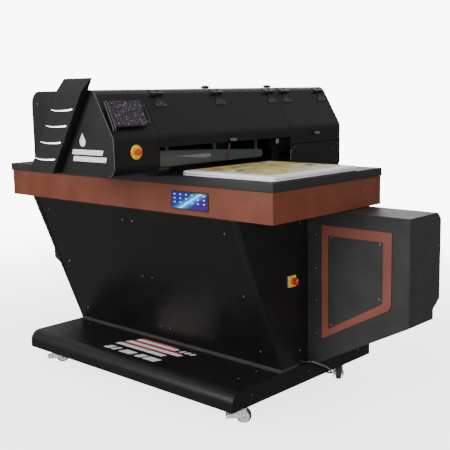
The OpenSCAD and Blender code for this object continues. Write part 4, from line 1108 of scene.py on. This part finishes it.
def make_caster(corner):
    wheel, fork = "wheel_" + corner, "fork_" + corner
    low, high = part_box("caster_wheel_" + corner)
    centre = table_mm((Vector(low) + Vector(high)) / 2)
    axle = Vector(JOINTS["roll_" + corner]["axis"])
    hub = facing(centre, axle)
    shoulder = [(22, -2.4), (24.4, -1.2), (30, -0.6), (33.2, -2), (WHEEL_R, -5.2)]
    tread = [(r, WHEEL_HALF + h) for r, h in shoulder] + [(WHEEL_R, 3), (33.8, 2.2)]
    piece("tyre_" + corner, "rubber", lathe(mirrored(tread), hub, 48, closed=True), body=wheel,
          slot="wheel_rubber", replaces="caster_wheel_" + corner)
    disc = [(5.2, 15.6), (9, 15.6), (11.5, 14), (12, 10), (15, 8.4), (20, 9.4), (22.4, 11)]
    rib = ((10, 12.6), (15, 10.2), (21, 10.8))
    ribs = [tube([hub @ Vector((*polar(r, 72 * k), s * h)) for r, h in rib], 1.3, 6)
            for k in range(5) for s in (-1, 1)]
    piece("hub_" + corner, "hub", lathe(mirrored(disc), hub, 40, closed=True), *ribs, body=wheel,
          slot="wheel_rubber")
    # pressed dust cap over the swivel race, and a ribbed pad on the brake pedal
    pin = table_mm(JOINTS["swivel_" + corner]["pos_m"])
    ahead = centre - pin
    race = Matrix.Translation((pin.x, pin.y, 0)) @ Matrix.Rotation(math.atan2(ahead.y, ahead.x), 4, "Z")
    cap = [(27.3, 79), (28.2, 80.4), (28.2, 83), (26.6, 86), (24.2, 90), (23.3, 91.6)]
    piece("race_cap_" + corner, "chrome", lathe(cap, race, 40), body=fork)
    pedal = race @ Matrix.Translation((-62, -20, 36)) @ Matrix.Rotation(math.radians(-8), 4, "Y")
    pads = [rectangle((2 + 5.6 * k, 5.4 + 5.6 * k), (2, 38), 1.2, 2) for k in range(6)]
    piece("pedal_ribs_" + corner, "chrome", *[prism(pad, 4.9, 6.6, pedal) for pad in pads], body=fork)
    # stamped cheeks that cover most of the wheel, and the sides of the channel-shaped pedal
    cheek = [(-24, 75), (26, 75)] + arc_points((TRAIL, WHEEL_R), 25, 20, -200, 18)
    skirt = rounded([(-61, 27), (-2, 27), (4, 38), (-30, 43), (-61, 38)], [5, 2, 2, 4, 4], 4)
    sides = []
    for s in (-1, 1):
        flank = race @ Matrix(((1, 0, 0, 0), (0, 0, s, 0), (0, 1, 0, 0), (0, 0, 0, 1)))
        sides += [prism(cheek, 22.1, 23.5, flank), prism(skirt, 20.1, 21.7, flank)]
    piece("fork_cheeks_" + corner, "chrome", *sides, body=fork, bevel=0.0005)
    ends = []
    for s in (-1, 1):
        nut = facing(centre + axle * s * 24.2, axle * s)
        ends += [lathe([(9.6, -0.4), (9.6, 0.8), (8.4, 1.2)], nut, 24),
                 lathe([(4.6, 2), (4.6, 5.8), (3.6, 6.6)], nut, 20)]
    piece("axle_ends_" + corner, "zinc", *ends, body=fork)


# ---------------------------------------------------------------- what the lids and the mouth show inside
def make_inside():
    low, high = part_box("print_carriage")
    (x0, y0, _), (x1, y1, top) = table_mm(low), table_mm(high)
    rise = [(40, 0, 0.5), (40, 0, 14), (30, 3, 26), (14, 6, 30), (4, 8, 22), (3, 8, 1)]
    tubes = []
    for k in range(6):
        y = y0 + 24 + k * (y1 - y0 - 48) / 5
        tubes.append(tube([(x0 + a, y + b, top + c) for a, b, c in rise], 2.4, 8))
    piece("ink_tubes", "tube", *tubes, body="print_carriage")
    places = [facing((x, y, top), OUT_Z, OUT_Y) for x in (x0 + 12, x1 - 12) for y in (y0 + 12, y1 - 12)]
    screws("carriage_screws", places, 3.4, body="print_carriage")


def colour_inks():
    """The ink bottles are one CAD node: each pair of bottles takes its own ink's colour."""
    low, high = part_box("ink_tanks")
    span = (high.y - low.y) / len(INKS)
    dress("ink_tanks", INKS, 0.002, lambda face: min(3, max(0, int((face.center.y - low.y) / span))))


make_hood()
make_fin()
make_tablet()
make_estop()
make_isolator()
make_table()
make_mouth()
make_skins()
make_tray()
make_housings()
for corner in CORNERS:
    make_caster(corner)
make_inside()
colour_inks()

# ---------------------------------------------------------------- CAD nodes that keep their shape
# the nodes that share a material and a width of soft edge in metres
DRESSED = {
    ("tray", 0.002): "base_tray",
    # the front skins take the darker copy of the black coat: painted shade
    ("skin", 0.0012): "front_skin_left front_skin_right",
    ("black", 0.001): "rear_skin",
    ("black", 0.0012): "side_skins",
    ("graphite", 0.003): "housing_left housing_right",
    ("graphite", 0.0006): "access_panels",
    ("bronze", 0.002): "fascia_pan",
    ("rim", 0.003): "table_rim",
    ("table", 0.0006): "table_top",
    ("touch_ui", 0.0003): "touch_screen",
    ("white", 0.003): "bed_plate",
    ("art", 0.0006): "print_board",
    ("hood", 0.0012): "hood_cover far_housing lid_main lid_far",
    ("hood", 0.0014): "near_housing",
    ("frame", 0.002): "chassis_frame table_frame gantry_beam",
    ("frame", 0.0012): "gantry_uprights",
    ("frame", 0.0008): "uv_lamps",
    ("zinc", 0.001): "caster_plates carriage_rails print_heads",
    ("zinc", 0.0008): "hood_brackets",
    ("zinc", 0.0006): "bed_track",
    ("alu", 0.0008): "bed_carriage",
    ("alu", 0.0005): "drive_pulley idler_pulley",
    ("plastic", 0.002): "belt_motor",
    ("plastic", 0.0012): "touch_bezel",
    ("plastic", 0.001): "print_carriage capping_station",
    ("plastic", 0.0008): "lid_hinges",
    ("belt", 0.0): "carriage_belt",
    ("chrome", 0.0008): " ".join("caster_fork_" + corner for corner in CORNERS),
}
for (material_name, edge_width), node_names in DRESSED.items():
    for node_name in node_names.split():
        dress(node_name, [material_name], edge_width)
